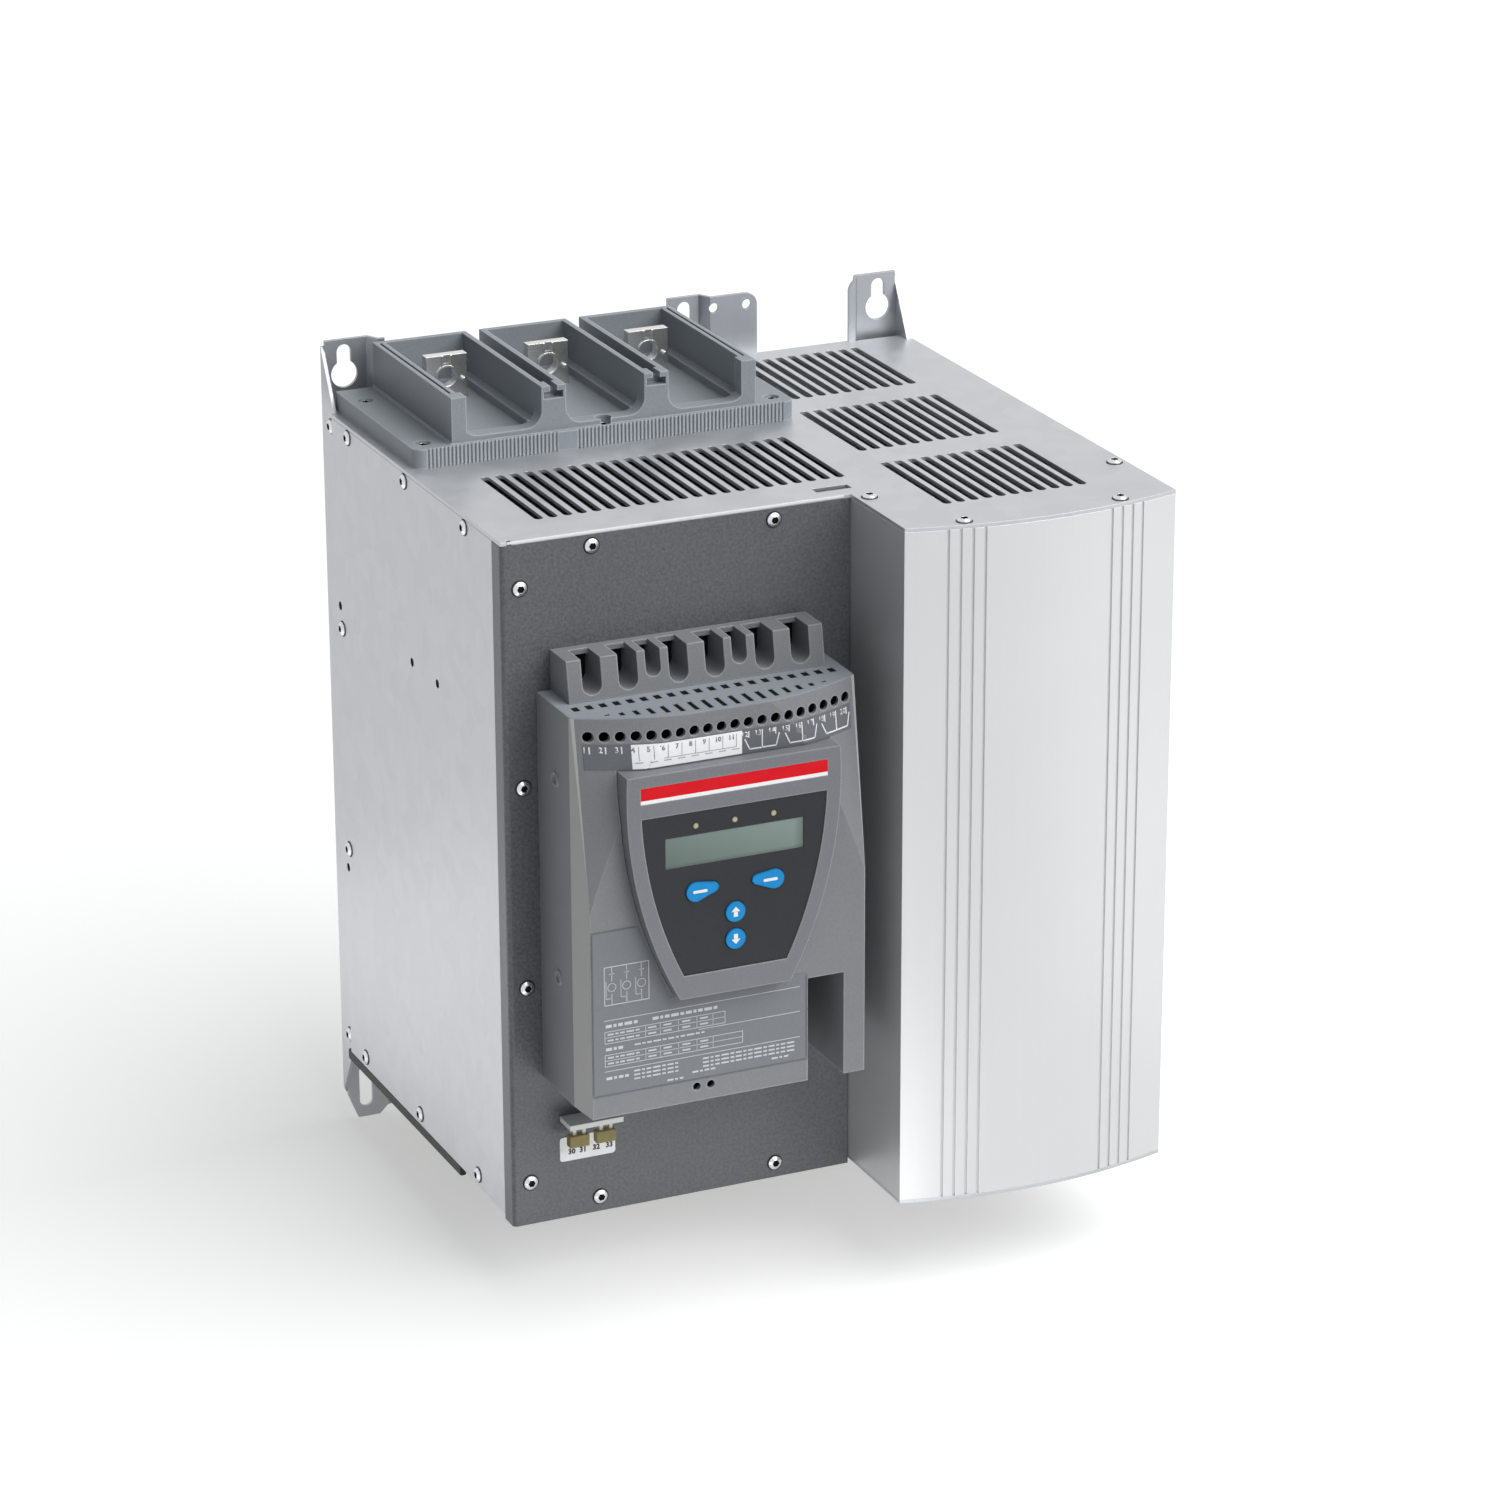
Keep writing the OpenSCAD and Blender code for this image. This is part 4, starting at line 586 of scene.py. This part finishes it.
def front_figures(words, x, z, height, level):
    """Flat figures that face the front, their middle on a point."""
    font_size = 1.4
    boldness = 0.05
    pick_nothing()
    bpy.ops.object.text_add(location=(x * MM, level * MM, z * MM), rotation=(math.pi / 2, 0, 0))
    figures = bpy.context.object
    figures.data.body = words
    figures.data.size = font_size * height * MM
    figures.data.offset = boldness * height * MM
    figures.data.align_x = "CENTER"
    figures.data.align_y = "CENTER"
    figures.data.resolution_u = 2
    bpy.ops.object.convert(target="MESH")
    figures = bpy.context.object
    place_in_mesh(figures)
    return figures


def rectangle(left, right, low, high, width):
    """The lines of a rectangle's outline."""
    half = width / 2
    return [(left - half, low, right + half, low, width), (left - half, high, right + half, high, width),
            (left, low + half, left, high - half, width), (right, low + half, right, high - half, width)]


def lay_on(piece, node, lift):
    """Moves a flat piece back until it lies on a CAD node, a little off it."""
    use(piece, "SHRINKWRAP", target=frame["nodes"][node], wrap_method="PROJECT", use_project_y=True,
        use_positive_direction=True, use_negative_direction=False, offset=lift * MM)


def thicken(piece, thickness):
    use(piece, "SOLIDIFY", thickness=thickness * MM, offset=1.0)
    turn_outwards(piece)


def round_corners(piece, radius):
    """Rounds the corners of a flat piece."""
    model_all(piece, bpy.ops.mesh.bevel, offset=radius * MM, segments=4, affect="VERTICES")


WHITE_INK = glossy_plastic("white ink", "e6e7e6", "f2f2f0", 0.45)
GREY_INK = glossy_plastic("grey ink", "a9abad", "b7b9bb", 0.45)
PALE_INK = glossy_plastic("pale ink", "c3c6c9", "d0d2d4", 0.45)
DARK_INK = glossy_plastic("dark ink", "2a2b2e", "37383b", 0.45)
BAND_FILM = moulded_plastic("band film", "62656a", "6c6f74", 0.42)
LABEL_FILM = moulded_plastic("label film", "727579", "7b7e82", 0.42)
WHITE_FILM = glossy_plastic("white film", "f6f6f6", "fdfdfd", 0.4)
# Painted shade: black for pieces that stand in for shade in vents, holes, slots and screw sockets.
SHADE_BLACK = moulded_plastic("painted shade black", "08090a", "101112", 0.7, edge=0.0003, gloss=0.15)
# Painted highlight: near-white for the top plate's lit cut edge.
PLATE_EDGE_HIGHLIGHT = glossy_plastic("painted plate edge highlight", "e4e5e6", "f0f0f1", 0.3)
HOUSING_LOW, HOUSING_HIGH = box_mm("control_housing")
UNIT_MIDDLE = (HOUSING_LOW.x + HOUSING_HIGH.x) / 2
LEDGE = HOUSING_HIGH.z
FACE = HOUSING_LOW.y
AHEAD = FACE - 20
PANEL = box_mm("front_panel")[0].y
TOP = box_mm("top_plate")[1].z
POLE_PITCH = 7.5
POLES = 20
FILM = 0.1
INK = 0.08


def pole_x(number):
    """Where a control terminal's hole is, across the front."""
    return UNIT_MIDDLE + (number - (POLES + 1) / 2) * POLE_PITCH


# Painted shade: black pieces in openings, where only shade would be

def add_ledge_gauze():
    """Painted shade: black sheets in the vents of the control unit's ledge, placed by their distance from the
    front panel.
    """
    rear_near, rear_far = 29.0, 35.4
    rear_wide = 3.6
    slot_near = 45.5
    slot_wide = 2.6
    shortest_slot = 0.8
    ledge_end = 61.0
    ledge_bow = 166.02
    ledge_rim = 2.2
    slots_each_side = 8
    sunk = 1.0
    thickness = 1.2
    clearance = 0.06
    openings = [(pole_x(n), rear_near, rear_far, rear_wide) for n in range(1, POLES + 1)]
    for n in range(-slots_each_side, slots_each_side + 1):
        x = n * POLE_PITCH
        end = ledge_end - ledge_bow + math.sqrt(ledge_bow ** 2 - x ** 2) - ledge_rim
        openings.append((UNIT_MIDDLE + x, slot_near, max(end, slot_near + shortest_slot), slot_wide))
    pieces = []
    for x, near, far, width in openings:
        size = (width - clearance, far - near - clearance, thickness)
        pieces.append(block(size, (x, PANEL - (near + far) / 2, LEDGE - sunk)))
    shade_sheet = join(pieces)
    pick_faces(shade_sheet, lambda normal: normal.z > 0.9)
    bpy.ops.mesh.inset(thickness=0.2 * MM, depth=-0.25 * MM, use_individual=True)
    bpy.ops.object.mode_set(mode="OBJECT")
    settle(shade_sheet, "ledge_vent_shade", "starter", SHADE_BLACK)


def add_comb_backing():
    """Painted shade: a black sheet behind the cable comb's slots."""
    side_gap = 0.8
    foot_gap = 0.6
    top_gap = 3.3
    off_panel = 1.5
    low, high = box_mm("cable_comb")
    slot_shade = front_sheet(
        low.x + side_gap, high.x - side_gap, low.z + foot_gap, high.z - top_gap, PANEL - off_panel)
    thicken(slot_shade, 0.3)
    settle(slot_shade, "comb_slot_shade", "starter", SHADE_BLACK)


def add_vent_gauze():
    """Painted shade: a black sheet under the top plate's long vent."""
    wide, deep = 178.0, 82.0
    columns, rows = 22, 10
    right_of_panel_end = 118.0
    behind_panel = 67.0
    below_plate = 3.4
    middle = (box_mm("front_panel")[0].x + right_of_panel_end, PANEL + behind_panel, TOP - below_plate)
    pick_nothing()
    bpy.ops.mesh.primitive_grid_add(
        x_subdivisions=columns, y_subdivisions=rows, size=MM, location=[place * MM for place in middle])
    shade_sheet = stretch((wide, deep, 1))
    pick_faces(shade_sheet, lambda normal: True)
    bpy.ops.mesh.inset(thickness=0.6 * MM, depth=-0.4 * MM, use_individual=True)
    bpy.ops.object.mode_set(mode="OBJECT")
    use(shade_sheet, "SOLIDIFY", thickness=0.3 * MM, offset=-1.0)
    settle(shade_sheet, "top_vent_shade", "starter", SHADE_BLACK)


def add_hole_backs():
    """Painted shade: black cups in the left side's four spare holes, placed by depth and by distance from the
    top.
    """
    holes = ((-134, 105.5), (-171, 105.5), (-24, 108), (-24, 262))
    outwards = (0, -math.pi / 2, 0)
    left = box_mm("left_side_panel")[0].x
    cup = turned(24, 2.46, 0.6, (0, 0, -0.6))
    hollow_out(cup, 0.25, deep=0.35)
    cups = [copy_to(cup, (left * MM, y * MM, (TOP - down) * MM), outwards) for y, down in holes]
    settle(join(cups), "side_hole_shade", "starter", SHADE_BLACK)
    remove(cup)


# Thin trim: the shroud's lip in black as painted shade, and a painted highlight on the top plate's edge

def add_shroud_lip():
    """Lip of the lower shroud, which shows below the left side, painted black as shade."""
    deep = 6.6
    overlap = 0.05
    inside_panel = 0.2
    below_shroud_top = 0.1
    low, high = box_mm("load_shroud")
    left = box_mm("left_side_panel")[0].x + inside_panel
    right = low.x + overlap
    top = high.z - below_shroud_top
    middle = ((left + right) / 2, (low.y + high.y) / 2, top - deep / 2)
    lip = block((right - left, high.y - low.y, deep), middle)
    use(lip, "BEVEL", width=1.2 * MM, segments=4)
    # Painted shade: black plastic on the lip, though the shroud is grey.
    settle(lip, "load_shroud_lip", "starter", FINISHES["black_plastic"])


def add_plate_edge():
    """Painted highlight: a bright strip along the top plate's cut edge at the front panel."""
    thickness, height = 0.5, 1.4
    shorter_by = 7.0
    ahead_of_panel = 0.05
    below_top = 0.75
    low, high = box_mm("front_panel")
    size = (high.x - low.x - shorter_by, thickness, height)
    edge = block(size, ((low.x + high.x) / 2, PANEL - ahead_of_panel, TOP - below_top))
    use(edge, "BEVEL", width=0.2 * MM, segments=2)
    settle(edge, "plate_edge_highlight", "starter", PLATE_EDGE_HIGHLIGHT)


# Marks on the keys

def front_middle(node):
    """The middle of a CAD node's front: across, up, and its depth."""
    low, high = box_mm(node)
    return (low.x + high.x) / 2, (low.z + high.z) / 2, low.y


def add_key_marks():
    dash_half = 4.0
    dash_high = 1.6
    stem_long, stem_wide = 2.7, 2.3
    head_wide, head_long = 2.9, 1.8
    head_up = 1.0
    for key, shift in (("left_key", -1.4), ("right_key", 1.2)):
        x, z, level = front_middle(key)
        x += shift
        dash = front_lines([(x - dash_half, z, x + dash_half, z, dash_high)], level)
        round_corners(dash, 0.7)
        thicken(dash, INK)
        settle(dash, key + "_dash", key, WHITE_INK)
    for key, way in (("up_key", 1), ("down_key", -1)):
        x, z, level = front_middle(key)
        stem = front_lines([(x, z - way * stem_long, x, z, stem_wide)], level)
        pick_nothing()
        bpy.ops.mesh.primitive_circle_add(
            vertices=3, radius=MM, fill_type="NGON", location=(x * MM, level * MM, (z + way * head_up) * MM),
            rotation=(math.pi / 2, 0 if way > 0 else math.pi, 0))
        arrow = join([stretch((head_wide, head_long, 1)), stem])
        thicken(arrow, INK)
        settle(arrow, key + "_arrow", key, WHITE_INK)


# Films and figures on the control housing

def add_band():
    """Dark film under the row of holes, a white label on it, the terminals' numbers and contact signs."""
    low = LEDGE - 26.2
    high = LEDGE - 13.2
    film = front_sheet(pole_x(0.6), pole_x(20.4), low, high, AHEAD, 40, 8)
    lay_on(film, "control_housing", 0)
    thicken(film, FILM)
    settle(film, "band_film", "starter", BAND_FILM)

    label = front_sheet(pole_x(3.6), pole_x(11.5), low + 0.2, high - 0.4, AHEAD, 18, 8)
    lay_on(label, "control_housing", FILM)
    thicken(label, FILM)
    settle(label, "band_label", "starter", WHITE_FILM)

    row = LEDGE - 16.2
    foot = LEDGE - 24.2
    tick_half = 1.8
    tick = 0.7
    on_film = (1, 2, 3, *range(12, 21))
    with_tick = (1, 2, 3, 12, 14, 15, 17, 18, 20)
    marks = [front_figures(str(n), pole_x(n) - 2.4, row, 2.9, AHEAD) for n in on_film]
    lines = [(pole_x(n), row + tick_half, pole_x(n), row - tick_half, tick) for n in with_tick]
    for first in (12, 15, 18):
        left, middle, right = [pole_x(first + k) for k in range(3)]
        lines.append((middle, row + tick_half, middle, foot, tick))
        lines.append((left + 0.3, foot, right + 0.3, foot, 0.75))
        lines.append((left - 2.2, row - 2.2, left + 0.5, foot, tick))
        lines.append((right + 2.0, row - 1.4, right + 0.3, foot, tick))
    numbers = join([*marks, front_lines(lines, AHEAD, 5)])
    lay_on(numbers, "control_housing", FILM)
    thicken(numbers, INK)
    settle(numbers, "band_numbers", "starter", WHITE_INK)

    on_label = range(4, 12)
    rule = 0.35
    rule_side = 0.6
    rule_foot = row - 5.4
    dash_row = row - 6.6
    marks = [front_figures(str(n), pole_x(n) - 2.0, row, 2.6, AHEAD) for n in on_label]
    lines = [(pole_x(n) + rule_side, row + 1.6, pole_x(n) + rule_side, rule_foot, rule) for n in on_label]
    lines += [(pole_x(n) - 1.6, dash_row, pole_x(n) + 2.4, dash_row, 0.5) for n in on_label]
    lines.append((pole_x(4) + rule_side, rule_foot, pole_x(11) + rule_side, rule_foot, rule))
    numbers = join([*marks, front_lines(lines, AHEAD, 3)])
    lay_on(numbers, "control_housing", 2 * FILM)
    thicken(numbers, INK)
    settle(numbers, "label_numbers", "starter", GREY_INK)


def words_row(left, right, down, height):
    """Dashes of different lengths in a row, as lines of small print look from afar."""
    lengths = (3.4, 1.7, 2.6, 4.3, 2.1)
    gap = 0.9
    shortest = 1.01
    row = []
    x = left
    while x < right - shortest:
        end = min(x + lengths[len(row) % len(lengths)], right)
        row.append((x, down, end, down, height))
        x = end + gap
    return row


def diagram_lines():
    """Three poles in a frame, each with a ring and a way round it."""
    high, low = 20.2, 41.2
    ring_middle, ring_r, ring_sides = 31.6, 2.3, 10
    thin, thick = 0.4, 0.45
    side = 3.2
    lines = rectangle(7.2, 31.8, high, low, 0.5)
    for pole in range(3):
        x = 11.3 + 8.2 * pole
        lines += [(x, high + 0.4, x, 28.2, thick), (x, 35.0, x, low - 0.4, thick)]
        lines.append((x - 1.5, 24.2, x + 1.5, 24.2, thick))
        lines += [(x - side, 28.0, x - side, 37.6, thin), (x - side, 37.6, x, 37.6, thin)]
        turns = [2 * math.pi * k / ring_sides for k in range(ring_sides + 1)]
        ring = [(x + ring_r * math.cos(t), ring_middle + ring_r * math.sin(t)) for t in turns]
        lines += [(*ring[k], *ring[k + 1], thick) for k in range(ring_sides)]
    return lines


def table_lines():
    """Two tables of two rows, with dashes in their cells."""
    left = 7.1
    rim, rule = 0.4, 0.35
    inset = 0.3
    small = 0.9
    cell_dash = 4.6
    tables = ((74.2, 55.8, 59.0, 62.3, (57.4, 60.7)), (84.1, 68.7, 71.9, 75.1, (70.3, 73.5)))
    lines = []
    for right, high, middle, low, rows in tables:
        lines += rectangle(left, right, high, low, rim)
        lines.append((left + inset, middle, right - inset, middle, rule))
        lines += [(x, high + inset, x, low - inset, rule) for x in (29.7, 37.9, 48.0, 58.4, 67.4)]
        for down in rows:
            lines += words_row(8.6, 27.6, down, small)
            lines += [(x, down, x + cell_dash, down, small) for x in (31.1, 39.6, 50.1, 60.1)]
    return lines


def print_lines():
    """Rules across the label, and rows of dashes of three heights."""
    margin, text, end = 6.8, 7.6, 116.7
    rule = 0.4
    small, middling, large = 0.9, 1.0, 1.7
    line_step = 2.2
    lines = [(margin, 49.6, end, 49.6, rule), (59.4, 63.5, end, 63.5, rule), (margin, 77.8, end, 77.8, rule)]
    lines += words_row(text, 26.6, 52.8, large) + words_row(33.6, 70.6, 52.8, large)
    lines += words_row(text, 17.6, 65.6, large) + words_row(23.6, 62.6, 65.4, small)
    lines += words_row(text, 20.1, 81.8, 1.5)
    for k in range(3):
        lines += words_row(23.1, 49.6, 80.0 + line_step * k, small)
        lines += words_row(61.6, 114.6, 80.2 + line_step * k, small)
    lines += words_row(41.6, 50.6, 88.8, middling) + words_row(55.6, 68.6, 86.8, middling)
    return lines + words_row(100.6, 111.6, 87.4, middling)


def add_lower_label():
    """Film beside and below the keypad, with a plain diagram, two empty tables and rows of dashes."""
    left = HOUSING_LOW.x + 2.95
    right = left + 121.0
    top = LEDGE - 110.0
    step = top - 42.5
    foot = top - 91.6
    beside = left + 25.8
    below = left + 43.4

    def inner_foot(point):
        return point.x > (left + 1) * MM and point.z < (step + 1) * MM

    film = front_sheet(left, right, foot, step, FACE)
    upper = front_sheet(left, beside, step, top, FACE)
    move_points(upper, inner_foot, ((below - beside) * MM, 0, 0))
    film = join([film, upper])
    thicken(film, FILM)
    settle(film, "label_film", "starter", LABEL_FILM)

    level = FACE - FILM
    edge = 0.7
    corner = 1.5
    rim_wide = 0.6
    rim = front_lines([
        (left + edge, foot + edge, right - edge, foot + edge, rim_wide),
        (left + edge, top - edge, beside - edge, top - edge, rim_wide),
        (left + edge, foot + corner, left + edge, top - corner, rim_wide),
        (right - edge, foot + corner, right - edge, step - corner, rim_wide)], level)
    thicken(rim, INK)
    settle(rim, "label_rim", "starter", BAND_FILM)

    lines = diagram_lines() + table_lines() + print_lines()
    placed = []
    for x1, down1, x2, down2, width in lines:
        placed.append((left + x1, top - down1, left + x2, top - down2, width))
    marks = front_lines(placed, level)
    thicken(marks, INK)
    settle(marks, "label_lines", "starter", PALE_INK)


def add_number_plate():
    """White plate on the front panel below the plugs, with their pole numbers."""
    thickness = 0.4
    left = HOUSING_LOW.x + 9.25
    top = HOUSING_LOW.z - 37.1
    plate = front_sheet(left, left + 31.5, top - 13.8, top, PANEL)
    round_corners(plate, 1.6)
    thicken(plate, thickness)
    settle(plate, "number_plate", "starter", WHITE_FILM)
    places = {"30": 6.7, "31": 13.1, "32": 20.7, "33": 28.1}
    level = PANEL - thickness
    marks = join([front_figures(words, left + x, top - 8.8, 2.9, level) for words, x in places.items()])
    thicken(marks, INK)
    settle(marks, "plate_numbers", "starter", DARK_INK)


# Painted shade at the screws, and details of the terminals

def loose_boxes(node):
    """Lowest and highest corners of each solid of a CAD node."""
    take(frame["nodes"][node])
    bpy.ops.object.duplicate(linked=False)
    copy = bpy.context.object
    model_all(copy, bpy.ops.mesh.remove_doubles, threshold=WELD)
    model_all(copy, bpy.ops.mesh.separate, type="LOOSE")
    boxes = []
    for part in bpy.context.selected_objects:
        points = [part.matrix_world @ v.co for v in part.data.vertices]
        low = Vector([min(p[axis] for p in points) for axis in range(3)])
        high = Vector([max(p[axis] for p in points) for axis in range(3)])
        boxes.append((low / MM, high / MM))
    bpy.ops.object.delete()
    return boxes


def head_foot(node, low, high):
    """Where the foot of a screw's head is, and the turn that points an upright piece out of it."""
    head_high = 1.9
    middle = (cad_low + cad_high) / 2 / MM
    spot = (low + high) / 2
    if node == "front_screws":
        spot.y = low.y + head_high
        return spot, (math.pi / 2, 0, 0)
    if node == "side_screws":
        to_left = spot.x < middle.x
        spot.x = low.x + head_high if to_left else high.x - head_high
        return spot, (0, -math.pi / 2 if to_left else math.pi / 2, 0)
    upwards = spot.z > middle.z
    spot.z = high.z - head_high if upwards else low.z + head_high
    return spot, (0 if upwards else math.pi, 0, 0)


def add_screw_details():
    """Painted shade at the screws: black liners in their sockets, and dark rings round their heads as painted
    shadows.
    """
    socket_shade = turned(6, 2.05, 1.08, (0, 0, 1.25), math.pi / 6)
    hollow_out(socket_shade, 0.12, deep=0.85)
    ring = turned(32, 4.5, 0.2, (0, 0, 0.1))
    hollow_out(ring, 0.75)
    for node in ("side_screws", "front_screws", "plate_screws", "shroud_screws"):
        places = [head_foot(node, low, high) for low, high in loose_boxes(node)]
        # Painted shade: black liners in the sockets.
        socket_shades = [copy_to(socket_shade, spot * MM, turn) for spot, turn in places]
        settle(join(socket_shades), node + "_sockets", "starter", SHADE_BLACK)
        if node != "shroud_screws":
            # Painted shadow: a dark ring round each head.
            head_shadows = [copy_to(ring, spot * MM, turn) for spot, turn in places]
            settle(join(head_shadows), node + "_shadow_rings", "starter", FINISHES["black_plastic"])
    remove(socket_shade)
    remove(ring)


def add_terminal_collars():
    """Raised collars round the terminal holes, two ribs up to the line bars' ends, and a small stud."""
    proud = 0.8
    line_hole_down = 12
    load_hole_up = 9
    collar = turned(48, 6.5, proud, (0, 0, proud / 2))
    hollow_out(collar, 1.1)
    stud = turned(20, 1.2, 2.2, (9.3, -2, 1.1))
    use(stud, "BEVEL", width=0.35 * MM, segments=2)
    load_collar = join([collar, stud])
    ribs = []
    for side in (-1, 1):
        rib = block((1.0, 6.2, proud * 0.8), (side * 2.5, 8.8, proud * 0.4))
        use(rib, "BEVEL", width=0.2 * MM, segments=2)
        ribs.append(rib)
    line_collar = join([copy_to(load_collar, (0, 0, 0)), *ribs])
    for bay in (1, 2, 3):
        low, high = box_mm(f"line_busbar_{bay}")
        spot = Vector(((low.x + high.x) / 2, low.y, high.z - line_hole_down)) * MM
        line = copy_to(line_collar, spot, (math.pi / 2, 0, 0))
        settle(line, f"line_collar_{bay}", "starter", FINISHES["tinned_copper"])
        low, high = box_mm(f"load_busbar_{bay}")
        spot = Vector(((low.x + high.x) / 2, low.y, low.z + load_hole_up)) * MM
        load = copy_to(load_collar, spot, (math.pi / 2, math.pi, 0))
        settle(load, f"load_collar_{bay}", "starter", FINISHES["tinned_copper"])
    remove(line_collar)
    remove(load_collar)


add_ledge_gauze()
add_comb_backing()
add_vent_gauze()
add_hole_backs()
add_shroud_lip()
add_plate_edge()
add_key_marks()
add_band()
add_lower_label()
add_number_plate()
add_screw_details()
add_terminal_collars()


# Studio

def set_studio():
    """White all round for the camera and in reflections, and a dim cool light from every side."""
    ambient = 0.17
    cool = (0.9, 0.97, 1.08, 1)
    white = (1, 1, 1, 1)
    scene = bpy.context.scene
    scene.view_settings.view_transform = "Standard"
    world = bpy.data.worlds.new("studio")
    scene.world = world
    world.use_nodes = True
    nodes = world.node_tree.nodes
    links = world.node_tree.links
    background = nodes["Background"]

    def either(first, second):
        larger = nodes.new("ShaderNodeMath")
        larger.operation = "MAXIMUM"
        links.new(first, larger.inputs[0])
        links.new(second, larger.inputs[1])
        return larger.outputs[0]

    rays = nodes.new("ShaderNodeLightPath").outputs
    seen = either(either(rays["Is Camera Ray"], rays["Is Glossy Ray"]), rays["Is Transmission Ray"])
    tint = nodes.new("ShaderNodeMix")
    tint.data_type = "RGBA"
    tint.inputs[6].default_value = cool
    tint.inputs[7].default_value = white
    links.new(seen, tint.inputs[0])
    links.new(tint.outputs[2], background.inputs["Color"])
    level = nodes.new("ShaderNodeMapRange")
    level.inputs["To Min"].default_value = ambient
    level.inputs["To Max"].default_value = 1.0
    links.new(seen, level.inputs["Value"])
    links.new(level.outputs[0], background.inputs["Strength"])


def add_floor():
    """A pale floor that keeps the shadow, and looks brighter to the camera and in reflections."""
    glow = (0.48, 0.48, 0.47, 1)
    pick_nothing()
    bpy.ops.mesh.primitive_plane_add(size=60, location=(0, 0, cad_low.z))
    floor = bpy.context.object
    floor.name = "floor"
    f = Finish("pale floor")
    rays = f.node("ShaderNodeLightPath").socket.node.outputs
    camera, glossy, clear = [
        Amount(f, rays[kind]) for kind in ("Is Camera Ray", "Is Glossy Ray", "Is Transmission Ray")]
    seen = f.node("ShaderNodeMath", {"operation": "ADD", "use_clamp": True}, {0: camera + glossy, 1: clear})
    f.colour(f.blend(f.noise(0.5), (0.59, 0.59, 0.59, 1), (0.61, 0.61, 0.61, 1)))
    f.rough(0.9)
    f.gloss(0)
    f.feed(f.shader.inputs["Emission Color"], f.blend(seen, (0, 0, 0, 1), glow))
    f.shader.inputs["Emission Strength"].default_value = 1
    floor.data.materials.append(f.material)


def add_sun(name, towards, strength, softness):
    """A broad soft lamp; towards is the way from the object to the lamp."""
    pick_nothing()
    bpy.ops.object.light_add(type="SUN")
    lamp = bpy.context.object
    lamp.name = name
    lamp.data.energy = strength
    lamp.data.angle = math.radians(softness)
    lamp.rotation_mode = "QUATERNION"
    lamp.rotation_quaternion = Vector(towards).to_track_quat("Z", "Y")


def add_floor_card(name, spot, size, power):
    """A square lamp that lies on the floor and shines upwards as a brightly lit floor would."""
    above_floor = 2 * MM
    pick_nothing()
    bpy.ops.object.light_add(
        type="AREA", location=(*spot, cad_low.z + above_floor), rotation=(math.pi, 0, 0))
    lamp = bpy.context.object
    lamp.name = name
    lamp.data.energy = power
    lamp.data.size = size
    lamp.visible_camera = False


set_studio()
add_floor()
add_sun("softbox", (0.44, -0.49, 0.76), 3.4, 65)
add_floor_card("left floor light", (-0.52, 0.05), 0.6, 0.6)
add_floor_card("front floor light", (-0.12, -0.5), 0.3, 0.3)
add_floor_card("right floor light", (0.75, -0.8), 0.7, 0.5)
